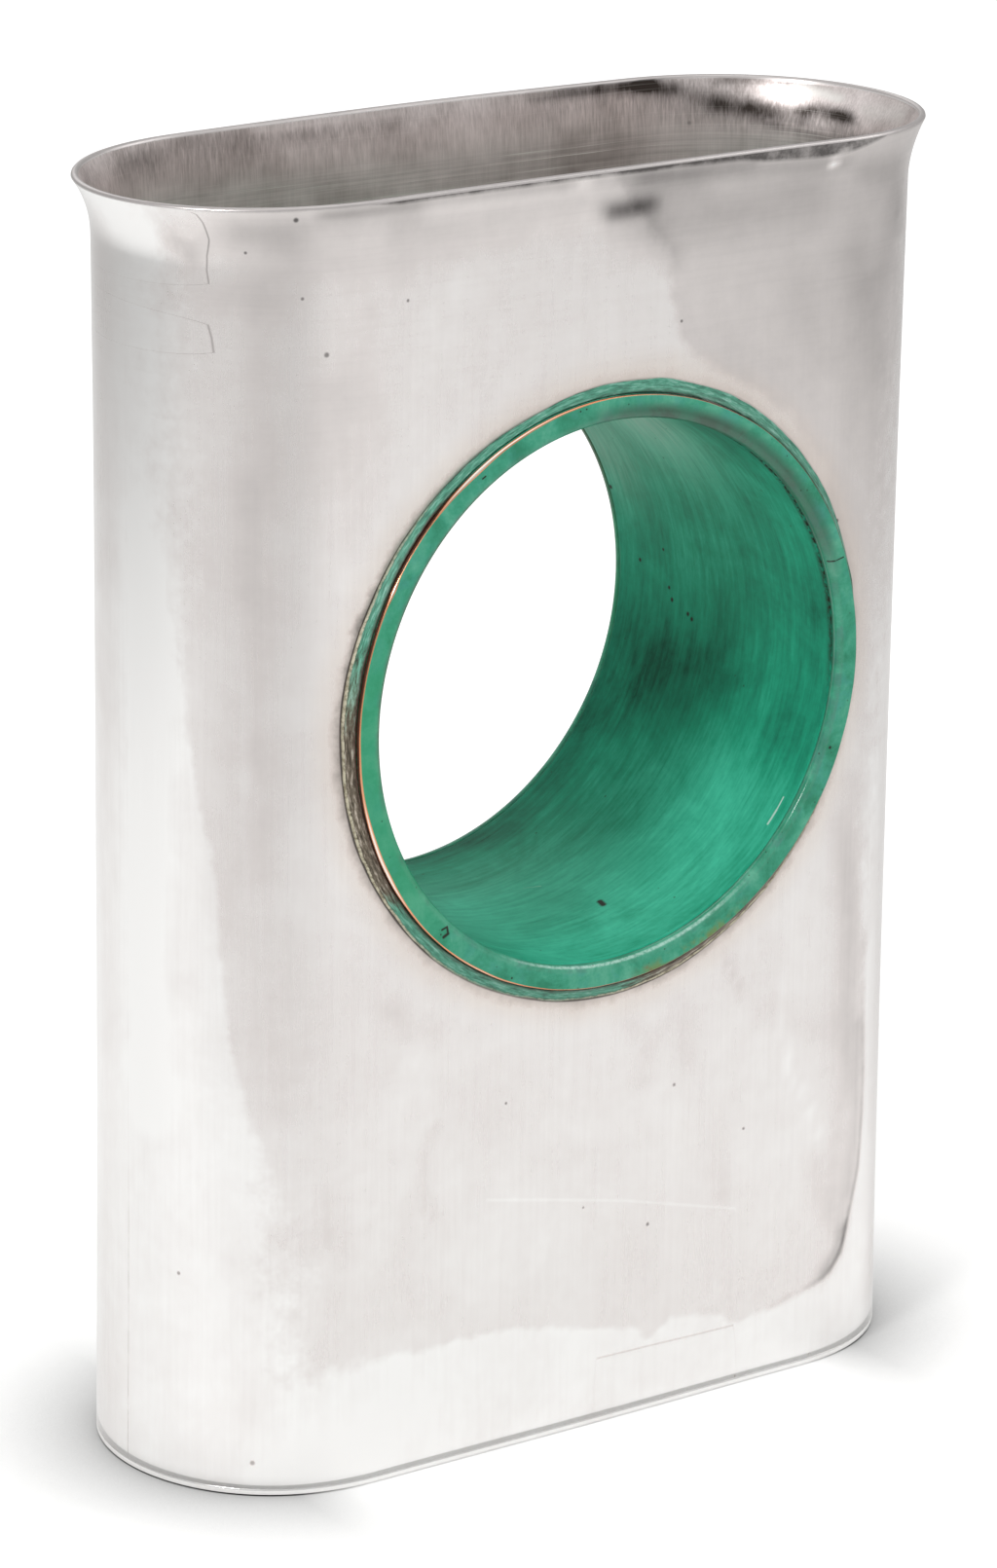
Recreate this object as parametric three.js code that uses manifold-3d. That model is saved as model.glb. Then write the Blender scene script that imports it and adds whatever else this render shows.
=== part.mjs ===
// Hand washing vessel: a tall oval beaker of sheet silver with a flared lip and a flat
// base, and a patinated copper sleeve soldered through its two flat sides as a hand hold.
// Millimetres, +Z up. The origin is the middle of the underside, X runs along the
// length, and the front side faces -Y.

import * as THREE from 'three';
import { mergeVertices } from 'three/addons/utils/BufferGeometryUtils.js';
import Module from 'manifold-3d';

const wasm = await Module();
wasm.setup();

// Silver body
const vesselHeight = 200;
const baseThickness = 1;
const wallThickness = 1.1;
const footHalfLength = 69.5;
const sideHalfDepth = 27.6;
const endReach = 29.6;          // how much of the half length the rounded end takes
const endPower = 0.88;          // 1 gives an ellipse, less a squarer end
const sideBow = 0.25;           // the long sides swell by this in their middle
const waistDraw = 0.4;          // the body is drawn in by this at half height
const shoulderDraw = 0.5;       // each end stands in by this below the lip

// Flared lip
const lipHeight = 10.2;
const lipEndFlare = 3.45;
const lipSideFlare = 0.65;
const lipEndReach = 31.9;
const lipPower = 0.93;
const lipSideBow = 0.5;
const lipEndDrop = 0.7;         // the rim dips by this at its two ends
const lipCurve = 1.9;           // how late the flare turns out

// Copper sleeve
const sleeveHeight = 119.4;     // its axis above the underside
const boreRadius = 42.5;
const barrelWall = 1.2;
const collarWidth = 3.9;
const collarThickness = 1.55;
const collarInnerRound = 0.9;
const collarOuterRound = 0.25;

// Solder
const seatGap = 0.3;            // film between two pieces that are soldered together
const outerBead = 1.6;          // leg of the bead between a collar and the silver
const innerBead = 1.5;          // leg of the bead between the barrel and the wall inside
const baseBead = 1.4;           // leg of the bead along the inner corner of the base

// Fineness of the curves
const endSteps = 28;            // points on each rounded end
const sideSteps = 12;           // points on each long side
const bodySteps = 7;            // outlines from the foot to the shoulder
const lipSteps = 7;             // outlines from the shoulder to the rim
const edgeSteps = 4;            // outlines over the rounded rim edge
const turnSteps = 72;           // steps round the sleeve
const roundSteps = 3;           // steps on a rounded collar edge

const rimEdge = wallThickness / 2;
const flareStart = vesselHeight - lipHeight;
const flareEnd = vesselHeight - rimEdge;
const barrelRadius = boreRadius + barrelWall;
const collarRadius = boreRadius + collarWidth;
const holeRadius = barrelRadius + seatGap;

const mix = THREE.MathUtils.lerp;

// How far the flare has opened at a height, from 0 at the shoulder to 1 at the rim
function flareAt(z) {
  const rise = (z - flareStart) / (flareEnd - flareStart);
  return THREE.MathUtils.clamp(rise, 0, 1) ** lipCurve;
}

function waistAt(z) {
  const fromMiddle = (2 * z) / vesselHeight - 1;
  return waistDraw * (1 - fromMiddle ** 2);
}

// The body's outline at a height, drawn in by an inset: two superelliptic ends joined
// by slightly bowed sides, as points that run counter-clockwise seen from above
function outline(z, inset, height = z) {
  const flare = flareAt(z);
  const drawn = waistAt(z) + inset;
  const taper = shoulderDraw * (z / vesselHeight);
  const halfLength = footHalfLength - taper + lipEndFlare * flare - drawn;
  const halfDepth = sideHalfDepth + lipSideFlare * flare - drawn;
  const reach = mix(endReach, lipEndReach, flare) - inset;
  const power = mix(endPower, lipPower, flare);
  const bow = mix(sideBow, lipSideBow, flare);
  const straight = halfLength - reach;
  const half = [];
  for (let i = 0; i <= endSteps; i += 1) {
    const angle = Math.PI * (i / endSteps - 0.5);
    const along = Math.max(Math.cos(angle), 0) ** power;
    half.push([straight + reach * along, halfDepth * Math.sin(angle)]);
  }
  for (let i = 1; i < sideSteps; i += 1) {
    const x = straight * (1 - (2 * i) / sideSteps);
    half.push([x, halfDepth + bow * (1 - (x / straight) ** 2)]);
  }
  const both = [...half, ...half.map(([x, y]) => [-x, -y])];
  const dip = lipEndDrop * flare;
  return both.map(([x, y]) => new THREE.Vector3(x, y, height - dip * (x / halfLength) ** 2));
}

// Outlines up a wall, closer together where the lip turns out
function outlinesUp(from, inset) {
  const heights = [];
  for (let i = 0; i < bodySteps; i += 1) {
    heights.push(mix(from, flareStart, i / bodySteps));
  }
  for (let i = 0; i <= lipSteps; i += 1) {
    heights.push(mix(flareStart, flareEnd, i / lipSteps));
  }
  return heights.map((z) => outline(z, inset));
}

function geometryFrom(points, triangles) {
  const geometry = new THREE.BufferGeometry().setFromPoints(points);
  geometry.setIndex(triangles);
  return geometry;
}

// Skins the rings in order; open rings are capped at both ends, and closed ones join up
function loft(rings, closed) {
  const count = rings[0].length;
  const points = rings.flat();
  const triangles = [];
  const bands = closed ? rings.length : rings.length - 1;
  for (let band = 0; band < bands; band += 1) {
    const low = band * count;
    const high = ((band + 1) % rings.length) * count;
    for (let i = 0; i < count; i += 1) {
      const j = (i + 1) % count;
      triangles.push(low + i, low + j, high + j);
      triangles.push(low + i, high + j, high + i);
    }
  }
  if (!closed) {
    const top = (rings.length - 1) * count;
    for (let i = 1; i < count - 1; i += 1) {
      triangles.push(0, i + 1, i);
      triangles.push(top, top + i, top + i + 1);
    }
  }
  return geometryFrom(points, triangles);
}

// A closed profile of [radius, depth] points turned about the sleeve's axis. Depths count
// outwards from the vessel's middle, and side is -1 for the front and 1 for the back.
function turned(profile, side = 1) {
  const points = profile.map(([radius, depth]) => new THREE.Vector2(radius, side * depth));
  if (side < 0) {
    points.reverse();
  }
  points.push(points[0].clone());
  return new THREE.LatheGeometry(points, turnSteps);
}

function toSolid(geometry) {
  const bare = geometry.clone();
  bare.deleteAttribute('normal');
  bare.deleteAttribute('uv');
  const merged = mergeVertices(bare, 1e-5);
  const mesh = new wasm.Mesh({
    numProp: 3,
    vertProperties: new Float32Array(merged.attributes.position.array),
    triVerts: new Uint32Array(merged.index.array),
  });
  return new wasm.Manifold(mesh);
}

function toGeometry(solid) {
  const mesh = solid.getMesh();
  const geometry = new THREE.BufferGeometry();
  geometry.setAttribute('position', new THREE.BufferAttribute(mesh.vertProperties, 3));
  geometry.setIndex(new THREE.BufferAttribute(mesh.triVerts, 1));
  return geometry;
}

// A turned form put at the sleeve's height, ready to be cut
function turnedSolid(profile, side) {
  return toSolid(turned(profile, side).translate(0, 0, sleeveHeight));
}

// The body filled from the underside to the rim, drawn in by an inset
function filledBody(inset) {
  return toSolid(loft(outlinesUp(0, inset), false));
}

// The proudest part of the long side that the collar covers, on the vessel's mid line
function crestUnderCollar() {
  const heights = [sleeveHeight - collarRadius, sleeveHeight + collarRadius];
  return Math.max(...heights.map((z) => sideHalfDepth + sideBow - waistAt(z)));
}

const wallCrest = crestUnderCollar();
const collarBack = wallCrest + seatGap;
const collarFace = collarBack + collarThickness;

// Sheet silver wall, rolled to an oval, with its lip turned out and its edge rounded, and
// a round hole in each long side for the sleeve
function makeBodyWall() {
  const outside = outlinesUp(baseThickness, 0);
  const edge = [];
  for (let i = 1; i < edgeSteps; i += 1) {
    const angle = (Math.PI * i) / edgeSteps;
    const inset = rimEdge * (1 - Math.cos(angle));
    edge.push(outline(flareEnd, inset, flareEnd + rimEdge * Math.sin(angle)));
  }
  const inside = outlinesUp(baseThickness, wallThickness).reverse();
  const shell = toSolid(loft([...outside, ...edge, ...inside], true));
  const reach = 2 * (collarFace + wallThickness);
  const cutter = new THREE.CylinderGeometry(holeRadius, holeRadius, reach, turnSteps);
  return toGeometry(shell.subtract(toSolid(cutter.translate(0, 0, sleeveHeight))));
}

// Flat oval plate that the wall stands on, flush with it all round
function makeBasePlate() {
  return loft([outline(0, 0), outline(baseThickness, 0)], false);
}

// Solder run round the inner corner between the wall and the base
function makeBaseSolder() {
  const corner = wallThickness + seatGap;
  const top = baseThickness + baseBead;
  const rings = [
    outline(baseThickness, corner),
    outline(top, corner),
    outline(baseThickness, corner + baseBead),
  ];
  return loft(rings, true);
}

// Copper tube that lines the hand hold, from one collar to the other
function makeBarrel() {
  return turned([
    [boreRadius, -wallCrest],
    [barrelRadius, -wallCrest],
    [barrelRadius, wallCrest],
    [boreRadius, wallCrest],
  ]);
}

// A quarter round on a profile: its centre, its radius and the angle that it starts at
function quarter(radius, depth, round, start) {
  const points = [];
  for (let i = 0; i <= roundSteps; i += 1) {
    const angle = start + (Math.PI / 2) * (i / roundSteps);
    points.push([radius + round * Math.cos(angle), depth + round * Math.sin(angle)]);
  }
  return points;
}

// Flat copper ring that faces the hole, with its bore edge rounded for the hand
function makeCollar(side) {
  const outerEdge = quarter(
    collarRadius - collarOuterRound,
    collarFace - collarOuterRound,
    collarOuterRound,
    0,
  );
  const innerEdge = quarter(
    boreRadius + collarInnerRound,
    collarFace - collarInnerRound,
    collarInnerRound,
    Math.PI / 2,
  );
  const back = [
    [boreRadius, collarBack],
    [collarRadius, collarBack],
  ];
  return turned([...back, ...outerEdge, ...innerEdge], side);
}

// Solder bead in the corner between a collar's rim and the silver, bedded on the wall
function makeOuterSolder(side) {
  const start = collarRadius + seatGap;
  const bed = sideHalfDepth - wallThickness - outerBead;
  const crown = wallCrest + outerBead * 0.75;
  const profile = [
    [start, bed],
    [start + outerBead, bed],
    [start + outerBead, wallCrest],
    [start + outerBead * 0.45, mix(wallCrest, crown, 0.4)],
    [start, crown],
  ];
  return toGeometry(turnedSolid(profile, side).subtract(filledBody(-seatGap)));
}

// Solder bead inside, round the barrel where it goes through the wall
function makeInnerSolder(side) {
  const start = barrelRadius + seatGap;
  const wallInside = sideHalfDepth + sideBow - waistDraw - wallThickness;
  const profile = [
    [start, wallInside - innerBead],
    [start + innerBead, wallInside],
    [start + innerBead, wallCrest],
    [start, wallCrest],
  ];
  return toGeometry(turnedSolid(profile, side).intersect(filledBody(wallThickness + seatGap)));
}

const silver = { color: 0xcbc8c4, metalness: 1, roughness: 0.3 };
const patina = { color: 0x3a8a70, metalness: 0.2, roughness: 0.42 };
const solder = { color: 0xb4ad9c, metalness: 0.8, roughness: 0.5 };

function makePiece(name, finish, geometry) {
  geometry.computeVertexNormals();
  const piece = new THREE.Mesh(geometry, new THREE.MeshStandardMaterial(finish));
  piece.name = name;
  return piece;
}

const body = new THREE.Group();
body.add(makePiece('body_wall', silver, makeBodyWall()));
body.add(makePiece('base_plate', silver, makeBasePlate()));
body.add(makePiece('base_solder', solder, makeBaseSolder()));

const sleeve = new THREE.Group();
sleeve.position.z = sleeveHeight;
sleeve.add(makePiece('sleeve_barrel', patina, makeBarrel()));
sleeve.add(makePiece('front_collar', patina, makeCollar(-1)));
sleeve.add(makePiece('rear_collar', patina, makeCollar(1)));

const joints = new THREE.Group();
joints.add(makePiece('front_collar_solder', solder, makeOuterSolder(-1)));
joints.add(makePiece('rear_collar_solder', solder, makeOuterSolder(1)));
joints.add(makePiece('front_inner_solder', solder, makeInnerSolder(-1)));
joints.add(makePiece('rear_inner_solder', solder, makeInnerSolder(1)));

const vessel = new THREE.Group();
vessel.add(body, sleeve, joints);

export default vessel;
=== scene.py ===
import math

import bmesh
import bpy
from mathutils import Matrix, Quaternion, Vector, noise


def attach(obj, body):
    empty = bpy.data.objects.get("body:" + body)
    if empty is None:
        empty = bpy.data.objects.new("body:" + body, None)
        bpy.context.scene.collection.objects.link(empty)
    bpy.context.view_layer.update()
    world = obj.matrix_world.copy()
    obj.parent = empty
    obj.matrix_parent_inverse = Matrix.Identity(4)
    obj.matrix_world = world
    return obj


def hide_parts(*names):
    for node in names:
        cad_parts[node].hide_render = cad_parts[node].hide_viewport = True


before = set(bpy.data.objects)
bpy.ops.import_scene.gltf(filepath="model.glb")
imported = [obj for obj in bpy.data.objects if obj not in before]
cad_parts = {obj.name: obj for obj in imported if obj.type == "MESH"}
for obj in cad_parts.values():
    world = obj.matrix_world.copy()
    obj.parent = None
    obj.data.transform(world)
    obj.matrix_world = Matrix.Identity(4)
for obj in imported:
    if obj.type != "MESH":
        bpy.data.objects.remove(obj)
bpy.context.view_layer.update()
print("frame loaded, nodes:", len(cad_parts))

mm = 0.001


def toLinear(code):
    channels = [int(code[i:i + 2], 16) / 255 for i in (1, 3, 5)]
    return [c / 12.92 if c <= 0.04045 else ((c + 0.055) / 1.055) ** 2.4 for c in channels] + [1.0]


# adds one node; inputs holds sockets to link or values to set, by name or number, or in a list
# from the first input on, and a node among them stands for its first output; stops are the
# places and colours of a ramp
def addNode(tree, kind, inputs=(), stops=None, **settings):
    node = tree.nodes.new("ShaderNode" + kind)
    for name, value in settings.items():
        setattr(node, name, value)
    for key, value in inputs.items() if isinstance(inputs, dict) else enumerate(inputs):
        if isinstance(value, bpy.types.Node):
            value = value.outputs[0]
        if isinstance(value, bpy.types.NodeSocket):
            tree.links.new(value, node.inputs[key])
        else:
            node.inputs[key].default_value = value
    if stops:
        ramp = node.color_ramp.elements
        while len(ramp) < len(stops):
            ramp.new(0.5)
        for element, (place, colour) in zip(ramp, stops):
            element.position = place
            element.color = toLinear(colour)
    return node


def newMaterial(name):
    made = bpy.data.materials.new(name)
    made.use_nodes = True
    made.node_tree.nodes.clear()
    return made, made.node_tree


def smoothStep(low, high, value):
    t = min(max((value - low) / (high - low), 0.0), 1.0)
    return t * t * (3 - 2 * t)


def lerp(a, b, share):
    return a + (b - a) * share


# smooth noise between -1 and 1 on a place in mm, with features of the given size in mm
def waver(x, y, z, size):
    return noise.noise(Vector((x / size, y / size, z / size)))


def makePiece(name, bm, materials, node):
    mesh = bpy.data.meshes.new(name)
    bm.to_mesh(mesh)
    bm.free()
    mesh.shade_smooth()
    piece = bpy.data.objects.new(name, mesh)
    bpy.context.scene.collection.objects.link(piece)
    for material in materials:
        mesh.materials.append(material)
    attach(piece, "root")
    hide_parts(node)
    print(name, "made, faces:", len(mesh.polygons))
    return piece


# the silver body: its outline, its flare and the sheet it is made of, in mm
body = {
    "height": 200.0,
    "baseThickness": 1.0,
    "wall": 1.1,
    "footHalfLength": 69.5,
    "sideHalfDepth": 27.6,
    "endReach": 29.6,
    "endPower": 0.88,
    "sideBow": 0.25,
    "waistDraw": 0.4,
    "shoulderDraw": 0.5,
    "lipHeight": 10.2,
    "lipEndFlare": 3.45,
    "lipSideFlare": 0.65,
    "lipEndReach": 31.9,
    "lipPower": 0.93,
    "lipSideBow": 0.5,
    "lipEndDrop": 0.7,
    "lipCurve": 1.9,
    "sideSteps": 28,        # points on a quarter of the outline: the half of a long side
    "endSteps": 32,         # and the half of a rounded end
    "wallLevels": 94,
    "lipLevels": 28,
    "edgeLevels": 6,
    "holeRadius": 44.0,
    "broadWaver": 0.10,     # hand finished sheet is never quite even
    "fineWaver": 0.02,
}

sleeve = {
    "height": 119.4,
    "bore": 42.5,
    "barrelWall": 1.2,
    "barrelHalf": 27.88,
    "collarWidth": 3.9,
    "collarBack": 27.9,
    "collarFace": 29.47,
    "innerRound": 0.9,
    "outerRound": 0.42,
    "turnSteps": 320,
    "boreSteps": 36,
    "broadWaver": 0.05,     # hammer marks in the bore
    "fineWaver": 0.02,
}

# how the ring looks on its way round, by the angle in degrees from the right, seen from the
# front and counted counter-clockwise. In mm: the width of the solder bead outside the collar,
# and the half widths of the bright copper and of the brown oxide beside it. As shares: how
# green the bead is, how much grey crust it carries, and how much darker the silver beside it
# is, with a painted shadow line at the bead's foot.
ringWear = [
    (0, 1.2, 0.0, 0.10, 0.6, 0.3, 0.25),
    (25, 1.4, 0.0, 0.10, 1.0, 0.1, 0.15),
    (45, 1.8, 0.0, 0.12, 1.0, 0.0, 0.12),
    (62, 1.9, 0.0, 0.13, 1.0, 0.0, 0.12),
    (78, 1.8, 0.02, 0.14, 1.0, 0.0, 0.12),
    (92, 1.3, 0.08, 0.10, 1.0, 0.0, 0.15),
    (105, 0.7, 0.19, 0.05, 1.0, 0.0, 0.15),
    (117, 0.65, 0.30, 0.03, 1.0, 0.1, 0.18),
    (124, 0.6, 0.46, 0.03, 1.0, 0.2, 0.22),
    (131, 0.6, 0.24, 0.22, 1.0, 0.2, 0.26),
    (137, 0.7, 0.05, 0.40, 1.0, 0.3, 0.32),
    (148, 0.9, 0.06, 0.34, 0.9, 0.4, 0.45),
    (151, 1.0, 0.34, 0.20, 0.8, 0.4, 0.55),
    (154, 1.0, 0.10, 0.28, 0.8, 0.4, 0.60),
    (158, 1.1, 0.08, 0.28, 0.7, 0.5, 0.70),
    (168, 1.2, 0.07, 0.36, 0.5, 0.5, 0.65),
    (180, 1.2, 0.11, 0.34, 0.3, 0.5, 0.50),
    (190, 1.3, 0.16, 0.26, 0.1, 0.5, 0.45),
    (199, 1.5, 0.34, 0.24, 0.0, 0.6, 0.45),
    (208, 1.5, 0.38, 0.22, 0.2, 0.5, 0.50),
    (216, 1.5, 0.16, 0.26, 0.6, 0.5, 0.45),
    (226, 1.7, 0.09, 0.22, 0.9, 0.4, 0.40),
    (238, 1.8, 0.22, 0.16, 1.0, 0.3, 0.30),
    (252, 1.9, 0.11, 0.20, 1.0, 0.3, 0.30),
    (268, 2.1, 0.07, 0.24, 0.8, 0.4, 0.35),
    (282, 2.2, 0.03, 0.40, 0.3, 0.6, 0.40),
    (300, 2.0, 0.01, 0.20, 0.0, 0.9, 0.40),
    (322, 1.6, 0.01, 0.18, 0.1, 0.8, 0.35),
    (345, 1.3, 0.0, 0.12, 0.4, 0.5, 0.30),
    (360, 1.2, 0.0, 0.10, 0.6, 0.3, 0.25),
]
ringNames = ("bead", "copper", "oxide", "green", "crust", "smudgeAndShade")


# the row of that table at an angle; the rear ring has the same wear in other places
def ringAt(angle, side):
    degrees = math.degrees(angle) % 360 if side < 0 else (200 - math.degrees(angle)) % 360
    later = next(i for i, row in enumerate(ringWear) if row[0] >= degrees)
    low, high = ringWear[max(later - 1, 0)], ringWear[later]
    share = (degrees - low[0]) / max(high[0] - low[0], 1e-9)
    return {name: lerp(low[i + 1], high[i + 1], share) for i, name in enumerate(ringNames)}


# radius in mm at which the solder bead ends on the silver
def beadEdge(angle, side):
    x, z = 10 * math.cos(angle), 10 * math.sin(angle)
    ragged = 1 + 0.16 * waver(x, side * 7, z, 2.4)
    return sleeve["bore"] + sleeve["collarWidth"] + 0.1 + ringAt(angle, side)["bead"] * ragged


# how thick the green lies in the bore, together with painted light and shade there: place as
# angle in degrees and depth in mm, reach in both, and amount; the second list is where it
# dried dull and grey, and also a painted sheen, the grey reflection on the upper right of the bore
boreWear = {
    "shade": [
        ((-36, -14), (14, 13), 0.20), ((-60, -14), (30, 13), 0.08), ((-82, 3), (32, 10), 0.32),
        ((-68, -21), (22, 8), 0.14), ((-98, -10), (16, 20), 0.18), ((-17, -20), (11, 8), -0.22),
        ((-22, -18), (6, 4), -0.10), ((-25, -25), (5, 3), -0.10), ((-8, -1), (16, 7), -0.14),
        ((-17, 14), (14, 14), -0.34), ((-50, 26), (32, 6), -0.30), ((-88, 29), (20, 5), -0.18),
        ((46, 4), (15, 13), 0.24), ((60, -22), (12, 9), -0.22), ((6, -25), (16, 7), -0.22),
        ((-42, 3), (9, 5), 0.12), ((120, 5), (28, 14), 0.30), ((168, -12), (22, 12), -0.30),
        ((215, 10), (25, 12), 0.20), ((190, 22), (18, 8), -0.20),
    ],
    "dustAndSheen": [
        ((50, 5), (15, 13), 0.75), ((32, 26), (13, 9), 0.5), ((-88, 12), (22, 8), 0.08), ((130, -8), (20, 12), 0.5),
    ],
}


def boreMark(angle, y, marks):
    total = 0.0
    for (around, depth), (wide, deep), amount in marks:
        turned = (math.degrees(angle) - around + 180) % 360 - 180
        total += amount * math.exp(-(turned / wide) ** 2 - ((y - depth) / deep) ** 2)
    return total


quarterSteps = body["sideSteps"] + body["endSteps"]
ringSteps = 4 * quarterSteps
flareStart = body["height"] - body["lipHeight"]
flareEnd = body["height"] - body["wall"] / 2


def sectionAt(z, inset=0.0):
    rise = min(max((z - flareStart) / (flareEnd - flareStart), 0.0), 1.0)
    flare = rise ** body["lipCurve"]
    drawn = body["waistDraw"] * (1 - (2 * z / body["height"] - 1) ** 2) + inset
    narrowed = body["shoulderDraw"] * z / body["height"]
    halfLength = body["footHalfLength"] - narrowed + body["lipEndFlare"] * flare - drawn
    return {
        "flare": flare,
        "halfLength": halfLength,
        "halfDepth": body["sideHalfDepth"] + body["lipSideFlare"] * flare - drawn,
        "reach": lerp(body["endReach"], body["lipEndReach"], flare) - inset,
        "power": lerp(body["endPower"], body["lipPower"], flare),
        "bow": lerp(body["sideBow"], body["lipSideBow"], flare),
    }


# place k on the oval at a height, counted counter-clockwise from +X, as x and y in mm
def ovalPlace(k, section):
    quarter, step = divmod(k % ringSteps, quarterSteps)
    if quarter % 2:
        step = quarterSteps - step
    straight = section["halfLength"] - section["reach"]
    if step <= body["endSteps"]:
        angle = math.pi / 2 * step / body["endSteps"]
        x = straight + section["reach"] * max(math.cos(angle), 0.0) ** section["power"]
        y = section["halfDepth"] * math.sin(angle)
    else:
        share = 1 - (step - body["endSteps"]) / body["sideSteps"]
        x = straight * share
        y = section["halfDepth"] + section["bow"] * (1 - share ** 2) ** 2
    return (x if quarter in (0, 3) else -x, y if quarter < 2 else -y)


# how far the outside of the long side stands from the middle plane at a place
def sideDepth(x, z, inset=0.0):
    section = sectionAt(z, inset)
    straight = section["halfLength"] - section["reach"]
    if abs(x) <= straight:
        return section["halfDepth"] + section["bow"] * (1 - (x / straight) ** 2) ** 2
    share = min((abs(x) - straight) / section["reach"], 1.0) ** (1 / section["power"])
    return section["halfDepth"] * math.sqrt(1 - share * share)


def unevenness(x, y, z):
    fade = smoothStep(0, 14, z) * (1 - 0.6 * smoothStep(180, 200, z))
    broad = waver(x, y, z * 0.55 + 40, 38) * body["broadWaver"]
    fine = waver(x + 90, y, z, 13) * body["fineWaver"]
    return (broad + fine) * fade
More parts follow.
